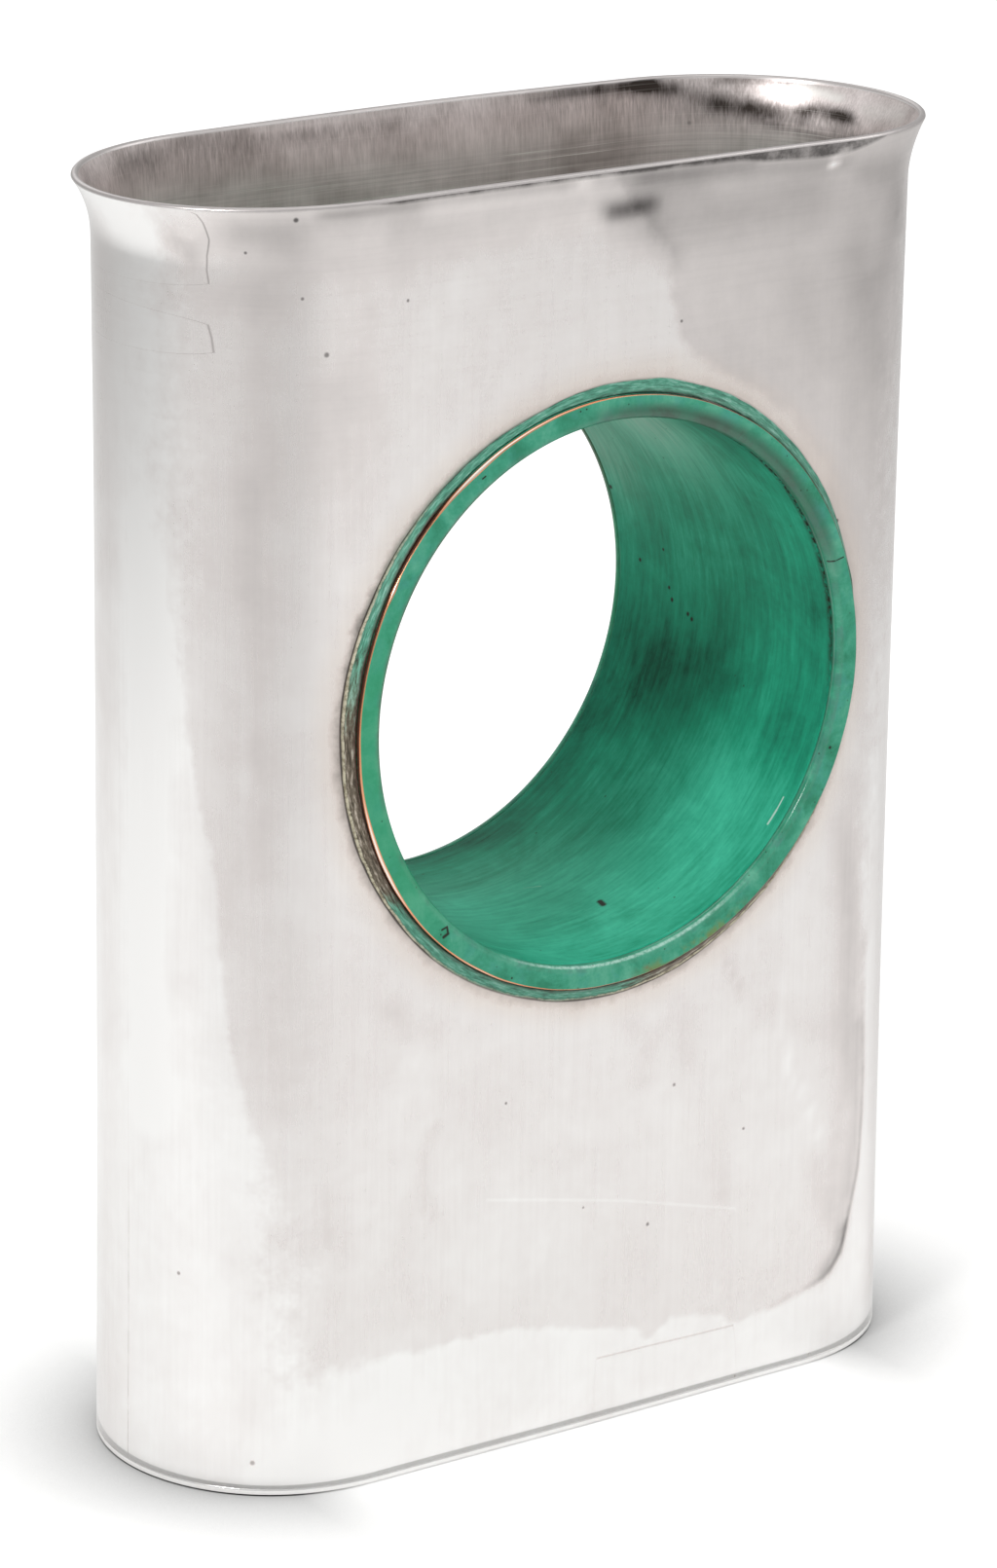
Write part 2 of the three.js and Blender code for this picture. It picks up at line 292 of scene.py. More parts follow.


# what making and use left on the silver, and the dark reflections, shade and highlights
# painted on it, as places in mm: how far round the outside from the middle of the front,
# with the right side positive, and the height above the table
wearAndPaintedLight = {
    # an area painted a little darker; below it and beside it the metal is left bright
    "dull": [
        (-56.4, 19.7), (-48.5, 18.7), (-45.4, 19.1), (-38.2, 19.8), (-30.5, 19.4), (-23.3, 19.7),
        (-16.2, 19.4), (-2.4, 16.2), (7.2, 14.0), (9.7, 11.3), (14.2, 14.5), (23.1, 12.6),
        (27.3, 10.0), (33.3, 11.4), (39.4, 12.7), (45.6, 14.4), (48.9, 17.6), (51.2, 24.4),
        (53.5, 30.4), (54.4, 38.4), (54.7, 46.7), (54.2, 55.1), (53.7, 63.4), (54.5, 80),
        (58, 120), (62, 205), (-77, 205), (-76, 165), (-74.4, 148), (-73, 137), (-72.2, 129.5),
        (-71.4, 122), (-70.3, 115), (-69, 109), (-67.6, 103), (-66.3, 95), (-65.6, 84),
        (-65, 76), (-63.8, 70), (-62, 63), (-60.5, 57), (-58, 38),
    ],
    # where that border fades out: place, reach, and how many times softer it is
    "dullSoft": [
        ((-58, 36), 15, 9), ((-56, 20), 6, 5), ((-75, 155), 18, 7), ((-77, 190), 26, 9), ((60, 140), 45, 9),
        ((56, 84), 12, 6),
    ],
    # painted dark reflection: a heavier, darker cloud on the right, under the lip
    "darkReflection": [
        (-2.5, 200), (2.9, 193.1), (6.3, 188.9), (9.5, 185.6), (9.6, 181.0), (10.3, 177.2),
        (12.3, 171.9), (14.7, 168.9), (19.4, 166.5), (24.3, 163.6), (33, 158), (40, 148),
        (46, 130), (50, 100), (90, 100), (90, 210), (-2.5, 210),
    ],
    # soft strokes, most of them painted dark reflections and shade: places, half width, and how much darker
    "strokes": [
        ([(-60, 188), (-60, 172), (-59.5, 145), (-59, 100)], 3.2, 0.07),
        ([(-58, 90), (-57, 62)], 3.0, 0.03),
        ([(-62, 196.5), (-50, 197.5), (-36, 197.5)], 2.6, 0.16),
        ([(-73, 193.5), (-70.5, 192)], 2.4, 0.22),
        ([(-92, 190), (-91, 10)], 7.0, 0.09),
        ([(-73, 110), (-73, 80)], 4.0, 0.05),
        ([(-45, 196), (-46, 180), (-47, 150)], 7.0, 0.05),
        ([(-90, 186), (-90, 140)], 5.0, 0.05),
        ([(-0.8, 193.2), (5.8, 193.7)], 1.7, 0.34),
        ([(4, 192), (36, 192)], 5.5, 0.19),
        ([(-56, 193), (-40, 192), (-8, 194)], 4.0, 0.10),
        ([(6, 190), (9.5, 185)], 2.4, 0.12),
        ([(4, 197.6), (20, 197.0), (35, 196.4), (42, 196.2)], 1.5, 0.16),
        ([(-50, 198.6), (-30, 198.6), (-9, 198.4)], 1.0, 0.20),
        ([(-71, 194.8), (-56, 194.6)], 3.0, 0.12),
        ([(-2.5, 194.0), (2.0, 193.2)], 1.7, 0.16),
        ([(46, 180), (52, 164)], 5.0, 0.12),
        ([(46, 194.6), (55, 192.4), (57, 186)], 3.0, 0.16),
        ([(-74, 186), (-56, 186)], 3.5, 0.07),
        ([(-66.5, 184), (-66, 94)], 4.5, 0.04),
        ([(-62, 158), (-62, 118)], 2.0, 0.06),
        ([(62, 172), (62, 110)], 4.0, 0.04),
        ([(-62, 38), (-60, 14)], 4.0, 0.05),
        ([(-38, 195), (-10, 196), (14, 196)], 2.6, 0.08),
        ([(61, 100), (61, 8)], 5.0, 0.12),
        ([(49, 96), (48, 24)], 3.5, 0.09),
        ([(53, 192), (53, 178)], 3.0, 0.07),
        ([(-4, 198.4), (8, 198.4), (24, 198.2)], 1.3, 0.16),
        ([(34, 178), (40, 166)], 4.0, 0.05),
        ([(-49.5, 48), (-49.5, 41)], 2.0, 0.04),
        ([(-31.0, 55), (-32.6, 50), (-32.4, 44), (-30.5, 41)], 1.2, 0.07),
        ([(-35, 45), (-36, 40)], 1.4, 0.04),
        ([(-47, 44), (-45, 38)], 2.2, 0.04),
        ([(-57, 44), (-54, 38)], 2.6, 0.04),
        ([(-39.5, 77), (-36, 73), (-30, 70)], 2.0, 0.06),
        ([(-13, 76), (-10, 74), (-4, 71)], 2.4, 0.09),
        ([(4, 66), (9, 62), (8, 56)], 2.0, 0.05),
        ([(15, 66), (16, 58)], 2.6, 0.05),
        ([(24, 72), (27, 66)], 0.9, 0.10),
        ([(32, 62), (38, 59), (44, 56)], 3.0, 0.05),
        ([(22, 46), (24, 34)], 3.0, 0.05),
        ([(42, 34), (45, 26)], 2.0, 0.07),
        ([(46, 90), (50, 70), (50.5, 45)], 2.4, 0.07),
        ([(44.6, 14.8), (48.0, 17.8), (49.0, 21)], 1.5, 0.25),
        ([(50.6, 27), (52.3, 38), (52.8, 55)], 1.5, 0.12),
        ([(70, 90), (72, 50), (72, 20)], 4.0, 0.06),
    ],
    # painted highlights, where the metal is painted brighter: the flare on the left, and the end
    "glints": [
        ([(-80, 196), (-72, 194)], 5.0, 0.10),
        ([(-80, 150), (-79, 120), (-79, 60)], 4.5, 0.10),
        ([(-62.5, 139), (-62.0, 112)], 0.8, 0.07),
        ([(39.8, 197.3), (41.0, 198.1)], 0.55, 0.55),
        ([(38.7, 195.8), (40.3, 196.4)], 0.55, 0.5),
        ([(54, 190), (50, 183)], 4.0, 0.08),
        ([(38, 49), (42, 42), (44.6, 36)], 0.5, 0.05),
        ([(34.5, 70), (35, 60), (37, 50)], 0.45, 0.06),
    ],
    # painted shade: the dark line just under the lip
    "lipShade": [
        (-44, 199.7), (-38, 199.0), (-20, 198.9), (0, 198.9), (9.4, 198.9), (15.5, 198.7),
        (21.8, 198.6), (26.5, 197.9), (31.5, 197.6), (36.8, 197.4), (41.1, 197.5), (46.0, 198.4),
        (49.6, 199.5), (49.6, 202), (-44, 202),
    ],
    # inside the vessel: painted shade and dark reflections, and painted highlights where the amount
    # is below 0, as soft strokes as above, counted on round to 172 at the middle of the back
    "insideStrokes": [
        (
            [(126, 199.2), (118, 197.6), (112.5, 195.4), (104.7, 193.3), (100.3, 192.3), (94, 191.3), (84, 191.5)],
            1.5, 0.42,
        ),
        ([(124, 197.0), (114, 193.5), (104, 190.8)], 2.5, 0.12),
        ([(141, 199.3), (124, 199.2)], 1.3, 0.36),
        ([(133.4, 199.5), (133.0, 196.4)], 0.7, 0.30),
        ([(129.8, 199.3), (129.8, 197.2)], 0.5, 0.22),
        ([(136, 198), (136, 185)], 5.0, 0.06),
        ([(-101, 197.4), (-107, 193)], 3.0, 0.28),
        ([(-130, 198.6), (-118, 197)], 1.6, 0.16),
        ([(96, 198), (90, 197.6), (80, 197.6)], 1.8, 0.06),
        ([(112, 195.6), (107, 194.8), (102.5, 193.4)], 1.8, 0.36),
        ([(113, 199.0), (107, 199.2), (101, 199.3)], 0.8, 0.45),
        ([(107, 195.2), (102, 194.9), (97.5, 194.4)], 1.2, 0.40),
        ([(98.5, 195.2), (94, 195.2), (88.5, 194.8)], 1.2, 0.46),
        ([(91.5, 195.0), (87.5, 194.6)], 1.3, 0.35),
        ([(172, 187.5), (110, 187.5), (92, 188.5)], 3.2, 0.14),
        ([(-172, 187), (-100, 187)], 3.2, 0.06),
        ([(103.2, 192.9), (97.5, 192.2), (91.5, 191.7)], 0.35, -0.22),
        ([(97, 193.6), (96, 195.2), (90, 194.2)], 1.4, 0.34),
        ([(100, 198.4), (96, 198.0), (92, 197.4)], 0.9, -0.75),
        ([(87, 196.2), (80, 197.2), (76, 197.4)], 1.6, -0.34),
        ([(126, 198.4), (120, 197.8)], 1.5, 0.34),
        ([(-122, 196.4), (-116, 196.8)], 2.6, 0.34),
        ([(-138, 197.6), (-131, 197.4)], 3.0, 0.26),
        ([(-172, 197.4), (-142, 197.4)], 2.2, 0.18),
        ([(172, 197.6), (152, 197.6)], 2.0, 0.08),
        ([(143, 196.8), (128, 196.6), (112, 194.4)], 2.6, 0.22),
        ([(-143, 191.4), (-136, 191.4)], 2.4, -0.12),
        ([(-154, 197.2), (-150, 197.2)], 2.2, 0.10),
        ([(137, 194.0), (136, 188.0)], 3.4, -0.14),
        ([(124, 198.6), (146, 198.6)], 1.0, 0.38),
        ([(-172, 198.7), (-140, 198.9)], 0.7, -0.2),
    ],
    # painted dark reflection: how strongly the border of the dull area shows as a fine dark line
    "darkReflectionLine": [
        ((39, 12.7), 0.08), ((45.6, 14.4), 0.30), ((49.6, 19), 0.44), ((53.5, 30.4), 0.26), ((54.7, 46.7), 0.16),
        ((53.7, 63.4), 0.10), ((54.5, 80), 0.0),
    ],
    # shallow dents: place, size and depth
    "dents": [
        ((-17.5, 15.5), 4.2, 0.16), ((10.5, 13.5), 3.2, 0.14), ((27, 12), 4.5, 0.08), ((-46, 20), 5.0, 0.06),
        ((-67.3, 190), 3.0, 0.06),
    ],
    # hairlines: the places each runs through, whether it runs up or along, half width and tone
    "hairlines": {
        "flareLine": (
            [
                (-69.6, 199.4), (-67.3, 199.0), (-66.8, 197.4), (-66.7, 194.5), (-67.5, 191.9), (-67.7, 189.7),
                (-67.2, 187.0),
            ],
            "up", 0.11, 0.34,
        ),
        "markLine": ([(-67.6, 182.0), (-67.0, 180.4), (-66.6, 177.4)], "up", 0.16, 0.30),
        "rubLine": ([(-0.5, 10.8), (12, 10.5), (27, 10.1)], "along", 0.14, 0.20),
        "longLine": ([(-22, 42), (-10, 39.5), (5, 36.1), (16, 33), (28, 29.6)], "along", 0.22, -0.05),
    },
}


def lineDistance(place, line):
    nearest = 1e9
    for (ax, ay), (bx, by) in zip(line, line[1:]):
        dx, dy = bx - ax, by - ay
        share = ((place[0] - ax) * dx + (place[1] - ay) * dy) / max(dx * dx + dy * dy, 1e-9)
        share = min(max(share, 0.0), 1.0)
        nearest = min(nearest, math.hypot(place[0] - ax - dx * share, place[1] - ay - dy * share))
    if len(line) == 1:
        nearest = math.hypot(place[0] - line[0][0], place[1] - line[0][1])
    return nearest


# distance in mm to the edge of an outline, positive inside it
def depthInside(place, outline):
    inside = False
    for (ax, ay), (bx, by) in zip(outline, outline[1:] + outline[:1]):
        if (ay > place[1]) != (by > place[1]) and place[0] < (bx - ax) * (place[1] - ay) / (by - ay) + ax:
            inside = not inside
    distance = min(lineDistance(place, outline + outline[:1]), 20.0)
    return distance if inside else -distance


def strokeTone(place, strokes):
    total = 0.0
    for line, width, amount in strokes:
        away = lineDistance(place, line) / width
        if away < 2.6:
            total += amount * math.exp(-away * away)
    return total


def dullDepth(place):
    soft = 1.0
    for spot, reach, times in wearAndPaintedLight["dullSoft"]:
        soft += times * math.exp(-(math.dist(place, spot) / reach) ** 2)
    return depthInside(place, wearAndPaintedLight["dull"]) / soft


def darkReflectionLineTone(place):
    line = [spot for spot, _ in wearAndPaintedLight["darkReflectionLine"]]
    strength = 0.0
    weight = 0.0
    for spot, amount in wearAndPaintedLight["darkReflectionLine"]:
        w = 1 / (math.dist(place, spot) ** 2 + 4)
        strength += amount * w
        weight += w
    return strength / weight if lineDistance(place, line) < 6 else 0.0


# how far a place is to the side of a hairline, or 9 beyond its ends
def hairlineAt(place, line, runs):
    across, along = (0, 1) if runs == "up" else (1, 0)
    points = sorted(line, key=lambda spot: spot[along])
    here = place[along]
    if not points[0][along] <= here <= points[-1][along]:
        return 9.0
    after = next(i for i in range(1, len(points)) if points[i][along] >= here)
    low, high = points[after - 1], points[after]
    share = (here - low[along]) / max(high[along] - low[along], 1e-9)
    return place[across] - lerp(low[across], high[across], share)


# how far each place on the ring is from the middle of the front, along the outside
def arcPlaces():
    middle = sectionAt(100.0)
    front = 3 * quarterSteps
    places = [0.0] * ringSteps
    for direction in (1, -1):
        travelled = 0.0
        for i in range(1, ringSteps // 2 + (1 if direction > 0 else 0)):
            travelled += math.dist(
                ovalPlace(front + direction * i, middle), ovalPlace(front + direction * (i - 1), middle),
            )
            places[(front + direction * i) % ringSteps] = direction * travelled
    return places


arcAt = arcPlaces()


def dentAt(around, z):
    deep = 0.0
    for (s, height), size, depth in wearAndPaintedLight["dents"]:
        away = math.hypot(around - s, z - height) / size
        if away < 2.5:
            deep += depth * math.exp(-away * away * 1.5)
    return deep


def wallPlace(k, z, inset, height=None):
    section = sectionAt(z, inset)
    x, y = ovalPlace(k, section)
    outer = sectionAt(z)
    before = ovalPlace(k - 1, outer)
    after = ovalPlace(k + 1, outer)
    outward = Vector((after[1] - before[1], before[0] - after[0], 0)).normalized()
    moved = unevenness(*ovalPlace(k, outer), z) - dentAt(arcAt[k % ringSteps], z)
    dip = body["lipEndDrop"] * section["flare"] * (x / section["halfLength"]) ** 2
    top = (z if height is None else height) - dip
    return Vector((x + outward.x * moved, y + outward.y * moved, top)) * mm


def startRing(bm, places):
    made = bmesh.ops.create_circle(bm, cap_ends=False, radius=1.0, segments=len(places))
    ring = made["verts"]
    for vert, place in zip(ring, places):
        vert.co = place
    return ring


# draws the open edges of a ring on to the next ring of places
def growRing(bm, ring, places):
    order = {vert: k for k, vert in enumerate(ring)}
    edges = [bm.edges.get((ring[k - 1], ring[k])) for k in range(len(ring))]
    made = bmesh.ops.extrude_edge_only(bm, edges=edges)
    grown = [None] * len(ring)
    for vert in made["geom"]:
        if isinstance(vert, bmesh.types.BMVert):
            old = next(e.other_vert(vert) for e in vert.link_edges if e.other_vert(vert) in order)
            grown[order[old]] = vert
    for vert, place in zip(grown, places):
        vert.co = place
    return grown


def closeRings(bm, last, first):
    pair = [bm.edges.get((ring[k - 1], ring[k])) for ring in (last, first) for k in range(len(ring))]
    bmesh.ops.bridge_loops(bm, edges=pair)


def growRings(places, closed=True, layers=()):
    bm = bmesh.new()
    for name in layers:
        bm.verts.layers.float.new(name)
    rings = [startRing(bm, places[0])]
    for row in places[1:]:
        rings.append(growRing(bm, rings[-1], row))
    if closed:
        closeRings(bm, rings[-1], rings[0])
    return bm, rings


def wallRow(z, inset, height=None):
    return [wallPlace(k, z, inset, height) for k in range(ringSteps)]


wallHeights = [lerp(body["baseThickness"], flareStart, i / body["wallLevels"]) for i in range(body["wallLevels"])]
wallHeights += [lerp(flareStart, flareEnd, i / body["lipLevels"]) for i in range(body["lipLevels"] + 1)]


# polar place of a vertex round the sleeve's axis: radius in mm and angle
def roundPlace(vert):
    x, z = vert.co.x / mm, vert.co.z / mm - sleeve["height"]
    return math.hypot(x, z), math.atan2(z, x)


def makeSilverWall(materials):
    rows = [wallRow(z, 0.0) for z in wallHeights]
    half = body["wall"] / 2
    for i in range(1, body["edgeLevels"]):
        angle = math.pi * i / body["edgeLevels"]
        rows.append(wallRow(flareEnd, half * (1 - math.cos(angle)), flareEnd + half * math.sin(angle)))
    rows += [wallRow(z, body["wall"]) for z in reversed(wallHeights)]
    names = ["tone", "dullEdge", "darkReflectionEdge", "lipEdge", "darkReflectionLine", "ringAway", "smudgeAndShade"] + list(wearAndPaintedLight["hairlines"])
    bm, rings = growRings(rows, layers=names)
    levels = len(wallHeights)
    outer = rings[:levels]
    inner = list(reversed(rings[-levels:]))
    # the sleeve's holes: the same squares go from both skins, and their edges are drawn to a circle
    middle = Vector((0, 0, sleeve["height"])) * mm
    radius = body["holeRadius"] * mm
    gone = []
    inside = set()
    for level in range(levels - 1):
        for k in range(ringSteps):
            corner = [outer[level][k - 1], outer[level][k], outer[level + 1][k], outer[level + 1][k - 1]]
            centre = sum((v.co for v in corner), Vector()) / 4 - middle
            if math.hypot(centre.x, centre.z) < radius:
                inside.add((level, k))
                for skin in (outer, inner):
                    quad = [skin[level][k - 1], skin[level][k], skin[level + 1][k], skin[level + 1][k - 1]]
                    gone.append(next(f for f in quad[0].link_faces if all(v in f.verts for v in quad)))
    bmesh.ops.delete(bm, geom=gone, context="FACES")
    rims = [e for e in bm.edges if e.is_boundary]
    for vert in {v for e in rims for v in e.verts}:
        away = Vector((vert.co.x, 0, vert.co.z - middle.z))
        away = away.normalized() * radius
        vert.co.x = away.x
        vert.co.z = away.z + middle.z
    for side in (-1, 1):
        bmesh.ops.bridge_loops(bm, edges=[e for e in rims if e.verts[0].co.y * side > 0])
    bmesh.ops.recalc_face_normals(bm, faces=bm.faces)
    bm.verts.index_update()
    innerVerts = {v for ring in inner for v in ring if v.is_valid}
    layers = {name: bm.verts.layers.float[name] for name in names}
    blank = {"tone": 0.42, "darkReflectionLine": 0.0, "smudgeAndShade": 0.0, "dullEdge": -20.0, "darkReflectionEdge": -20.0, "lipEdge": -20.0}
    for vert in bm.verts:
        for name in names:
            vert[layers[name]] = blank.get(name, 9.0)
    for z, outerRing, innerRing in zip(wallHeights, outer, inner):
        for k in range(ringSteps):
            spot = (arcAt[k], z)
            if innerRing[k].is_valid:
                innerRing[k][layers["tone"]] = strokeTone(spot, wearAndPaintedLight["insideStrokes"])
            vert = outerRing[k]
            if vert.is_valid:
                vert[layers["tone"]] = strokeTone(spot, wearAndPaintedLight["strokes"]) - strokeTone(spot, wearAndPaintedLight["glints"])
                vert[layers["dullEdge"]] = dullDepth(spot)
                vert[layers["darkReflectionEdge"]] = depthInside(spot, wearAndPaintedLight["darkReflection"])
                vert[layers["lipEdge"]] = depthInside(spot, wearAndPaintedLight["lipShade"])
                vert[layers["darkReflectionLine"]] = darkReflectionLineTone(spot)
                side = -1 if vert.co.y < 0 else 1
                radius, angle = roundPlace(vert)
                vert[layers["ringAway"]] = min(radius - beadEdge(angle, side), 20.0)
                vert[layers["smudgeAndShade"]] = ringAt(angle, side)["smudgeAndShade"]
                for name, (line, runs, _, _) in wearAndPaintedLight["hairlines"].items():
                    vert[layers[name]] = hairlineAt(spot, line, runs)
    for face in bm.faces:
        face.material_index = 1 if all(v in innerVerts for v in face.verts) else 0
    return makePiece("silver_wall", bm, materials, "body_wall")


basePlate = {
    "edge": 0.16,           # chamfer below
    "joint": 0.1,           # and the finer one at the joint with the wall
    "inset": 2.5,
}


def makeBasePlate(materials):
    edge, joint = basePlate["edge"], basePlate["joint"]
    rows = [wallRow(0.0, edge)]
    rows.append([p + Vector((0, 0, edge * mm)) for p in wallRow(0.0, 0.0)])
    rows.append([p + Vector((0, 0, (body["baseThickness"] - joint) * mm)) for p in wallRow(0.0, 0.0)])
    rows.append([p + Vector((0, 0, body["baseThickness"] * mm)) for p in wallRow(0.0, joint)])
    bm, rings = growRings(rows, closed=False)
    for ring in (rings[0], rings[-1]):
        loop = [bm.edges.get((ring[k - 1], ring[k])) for k in range(len(ring))]
        bmesh.ops.contextual_create(bm, geom=loop)
    caps = [f for f in bm.faces if len(f.verts) > 4]
    for _ in range(2):
        bmesh.ops.inset_individual(bm, faces=caps, thickness=basePlate["inset"] * mm, use_even_offset=True)
    bmesh.ops.recalc_face_normals(bm, faces=bm.faces)
    return makePiece("silver_base", bm, materials, "base_plate")


# the solder along the inner corner of wall and base: a hollow fillet
baseSeam = {
    "leg": 1.4,
    "film": 0.3,            # to the wall, as in the CAD
    "lift": 0.02,           # over the base plate
    "profile": [(0, 0), (1, 0), (0.5, 0.18), (0.18, 0.5), (0, 1)],
}


def makeBaseSeam(materials):
    leg = baseSeam["leg"]
    corner = body["wall"] + baseSeam["film"]
    low = body["baseThickness"] + baseSeam["lift"]
    rows = []
    for drop, away in [(leg * rise, leg * reach) for rise, reach in baseSeam["profile"]]:
        row = []
        for k in range(ringSteps):
            x, y = ovalPlace(k, sectionAt(low))
            size = 1 + 0.22 * waver(x, y, 7, 4) + 0.15 * waver(x, y, 30, 1.5)
            inset = corner + away * size - (0.25 if away == 0 else 0)
            x, y = ovalPlace(k, sectionAt(low, inset))
            row.append(Vector((x, y, low + drop * min(size, 1.0))) * mm)
        rows.append(row)
    bm, rings = growRings(rows)
    bmesh.ops.recalc_face_normals(bm, faces=bm.faces)
    return makePiece("base_seam", bm, materials, "base_solder")


# a profile of radius and depth turned about the sleeve's axis; side is -1 for the front
def turnProfile(profile, side=1):
    bm = bmesh.new()
    verts = [bm.verts.new(Vector((r, side * depth, sleeve["height"])) * mm) for r, depth in profile]
    for k in range(len(verts)):
        bm.edges.new((verts[k - 1], verts[k]))
    axis = Vector((0, 0, sleeve["height"])) * mm
    bmesh.ops.spin(
        bm, geom=verts + bm.edges[:], cent=axis, axis=(0, 1, 0), dvec=(0, 0, 0),
        angle=math.tau, steps=sleeve["turnSteps"], use_merge=True,
    )
    bmesh.ops.remove_doubles(bm, verts=bm.verts, dist=0.001 * mm)
    bmesh.ops.recalc_face_normals(bm, faces=bm.faces)
    return bm


def movePolar(vert, radius, angle):
    vert.co.x = radius * math.cos(angle) * mm
    vert.co.z = (radius * math.sin(angle) + sleeve["height"]) * mm


def arcPoints(radius, depth, size, start, end, steps):
    points = []
    for i in range(steps + 1):
        angle = math.radians(lerp(start, end, i / steps))
        points.append((radius + size * math.cos(angle), depth + size * math.sin(angle)))
    return points


def makeBarrel(materials):
    half = sleeve["barrelHalf"]
    bore, outer = sleeve["bore"], sleeve["bore"] + sleeve["barrelWall"]
    # rows of vertices lie closer together near the two ends of the bore
    nearEnds = [0.15, 0.5, 0.9, 1.4]
    along = [-half + step for step in nearEnds]
    along += [lerp(-half + 2, half - 2, i / sleeve["boreSteps"]) for i in range(sleeve["boreSteps"] + 1)]
    along += [half - step for step in reversed(nearEnds)]
    profile = [(bore + 0.1, -half)] + [(bore, y) for y in along]
    profile += [(bore + 0.1, half), (outer, half), (outer, -half)]
    bm = turnProfile(profile)
    layers = {key: bm.verts.layers.float.new(key) for key in ("joint", "shade", "dustAndSheen")}
    for vert in bm.verts:
        radius, angle = roundPlace(vert)
        x, y, z = vert.co / mm
        # grime sits in the joint with the front collar, on the upper right
        facing = smoothStep(0.70, 0.95, math.cos(angle - math.radians(30))) if radius < bore + 0.5 else 0.0
        vert[layers["joint"]] = smoothStep(half - 1.6, half - 0.3, -y) * facing
        for key in ("shade", "dustAndSheen"):
            vert[layers[key]] = boreMark(angle, y, boreWear[key])
        if radius < bore + 0.5:
            hammered = sleeve["broadWaver"] * waver(x, y, z, 22) + sleeve["fineWaver"] * waver(x, y, z + 50, 8)
            movePolar(vert, radius + 0.06 + hammered, angle)
    return makePiece("copper_barrel", bm, materials, "sleeve_barrel")


# where the marks of use lie round the two collars, in degrees: on the front one, on the rear one
collarSpots = {
    "boreEdgeHighlight": (-84, -100),   # low down, a pale line painted on the edge of the bore: a painted highlight
    "fresh": (190, 20),     # the left of the face is a fresher green
    "handled": (155, 50),   # and the bore's edge above it is browned
    "dusk": (58, 148),      # the upper right of the face is duller on its inner half
    "stain": (-70, -104),   # and rust has run at the foot
}


def makeCollar(name, side, materials, node):
    bore, outer = sleeve["bore"], sleeve["bore"] + sleeve["collarWidth"]
    back, face = sleeve["collarBack"], sleeve["collarFace"]
    inner, rim = sleeve["innerRound"], sleeve["outerRound"]
    profile = [(bore + 0.1, back), (outer, back), (outer, back + 0.5)]
    profile += arcPoints(outer - rim, face - rim, rim, 0, 90, 8)
    profile += [(lerp(outer - rim, bore + inner, i / 6), face) for i in range(1, 6)]
    profile += arcPoints(bore + inner, face - inner, inner, 90, 180, 8)
    bm = turnProfile(profile, side)
    layers = {
        key: bm.verts.layers.float.new(key) for key in (
            "rimAway", "copper", "oxide", "dusk", "stain", "polish", "boreEdgeHighlight", "fresh", "handled",
        )
    }
    for vert in bm.verts:
        radius, angle = roundPlace(vert)
        depth = abs(vert.co.y) / mm
        worn = ringAt(angle, side)
        # distance along the surface from the middle of the rim, positive down its outer side
        if radius <= outer - rim:
            away = radius - outer + rim - math.pi / 4 * rim
        elif depth <= face - rim:
            away = face - rim - depth + math.pi / 4 * rim
        else:
            away = (math.pi / 4 - math.atan2(depth - face + rim, radius - outer + rim)) * rim
        vert[layers["rimAway"]] = away
        vert[layers["copper"]] = worn["copper"]
        vert[layers["oxide"]] = worn["oxide"]
        vert[layers["polish"]] = smoothStep(bore + inner + 0.4, bore + inner - 0.1, radius)
        # how near a vertex is to the middle of each mark, as the cosine of the angle between them
        near = {}
        for key, pair in collarSpots.items():
            near[key] = math.cos(angle - math.radians(pair[0] if side < 0 else pair[1]))
        edgeAway = math.hypot(radius - bore - inner * 0.35, depth - face + inner * 0.35)
        boreHalf = smoothStep(outer - 0.6, bore + 1.2, radius)
        rimHalf = smoothStep(bore + 1.4, outer - 0.3, radius)
        boreEdge = smoothStep(bore + inner, bore + inner * 0.4, radius)
        vert[layers["boreEdgeHighlight"]] = smoothStep(0.82, 0.97, near["boreEdgeHighlight"]) * smoothStep(0.42, 0.12, edgeAway)
        vert[layers["fresh"]] = smoothStep(0.70, 0.97, near["fresh"])
        vert[layers["handled"]] = smoothStep(0.72, 0.95, near["handled"]) * boreEdge
        vert[layers["dusk"]] = smoothStep(0.68, 0.93, near["dusk"]) * boreHalf
        vert[layers["stain"]] = smoothStep(0.955, 0.995, near["stain"]) * rimHalf
        x, z = 10 * math.cos(angle), 10 * math.sin(angle)
        ragged = 0.12 * waver(x, side * 5, z, 5) + 0.06 * waver(x, side * 5, z, 1.8)
        ragged += 0.03 * waver(x, side * 9, z, 0.7)
        share = (radius - bore) / (outer - bore)
        dished = 0.05 * waver(x, side * 3, z, 3) * smoothStep(back + 0.2, face, depth)
        movePolar(vert, radius + ragged * share - 0.12 * share, angle)
        vert.co.y += side * (dished - 0.06) * mm * smoothStep(back + 0.2, face, depth)
    return makePiece(name, bm, materials, node)


# solder bead between the collar's rim and the silver: it lies on the wall, with a ragged foot.
# Its profile has shares of the bead's width, and of the collar's height over the wall.
outerBead = {
    "profile": [
        (-0.04, 0.0), (-0.04, 0.96), (0.14, 0.84), (0.34, 0.60), (0.56, 0.38), (0.76, 0.24),
        (0.88, 0.17), (0.96, 0.13), (1.0, -0.1),
    ],
    "height": 0.9,
    "top": 29.0,            # from the middle plane, just below the collar's face
    "limit": 29.25,         # and nothing of the bead stands out further
    "steps": 640,
}


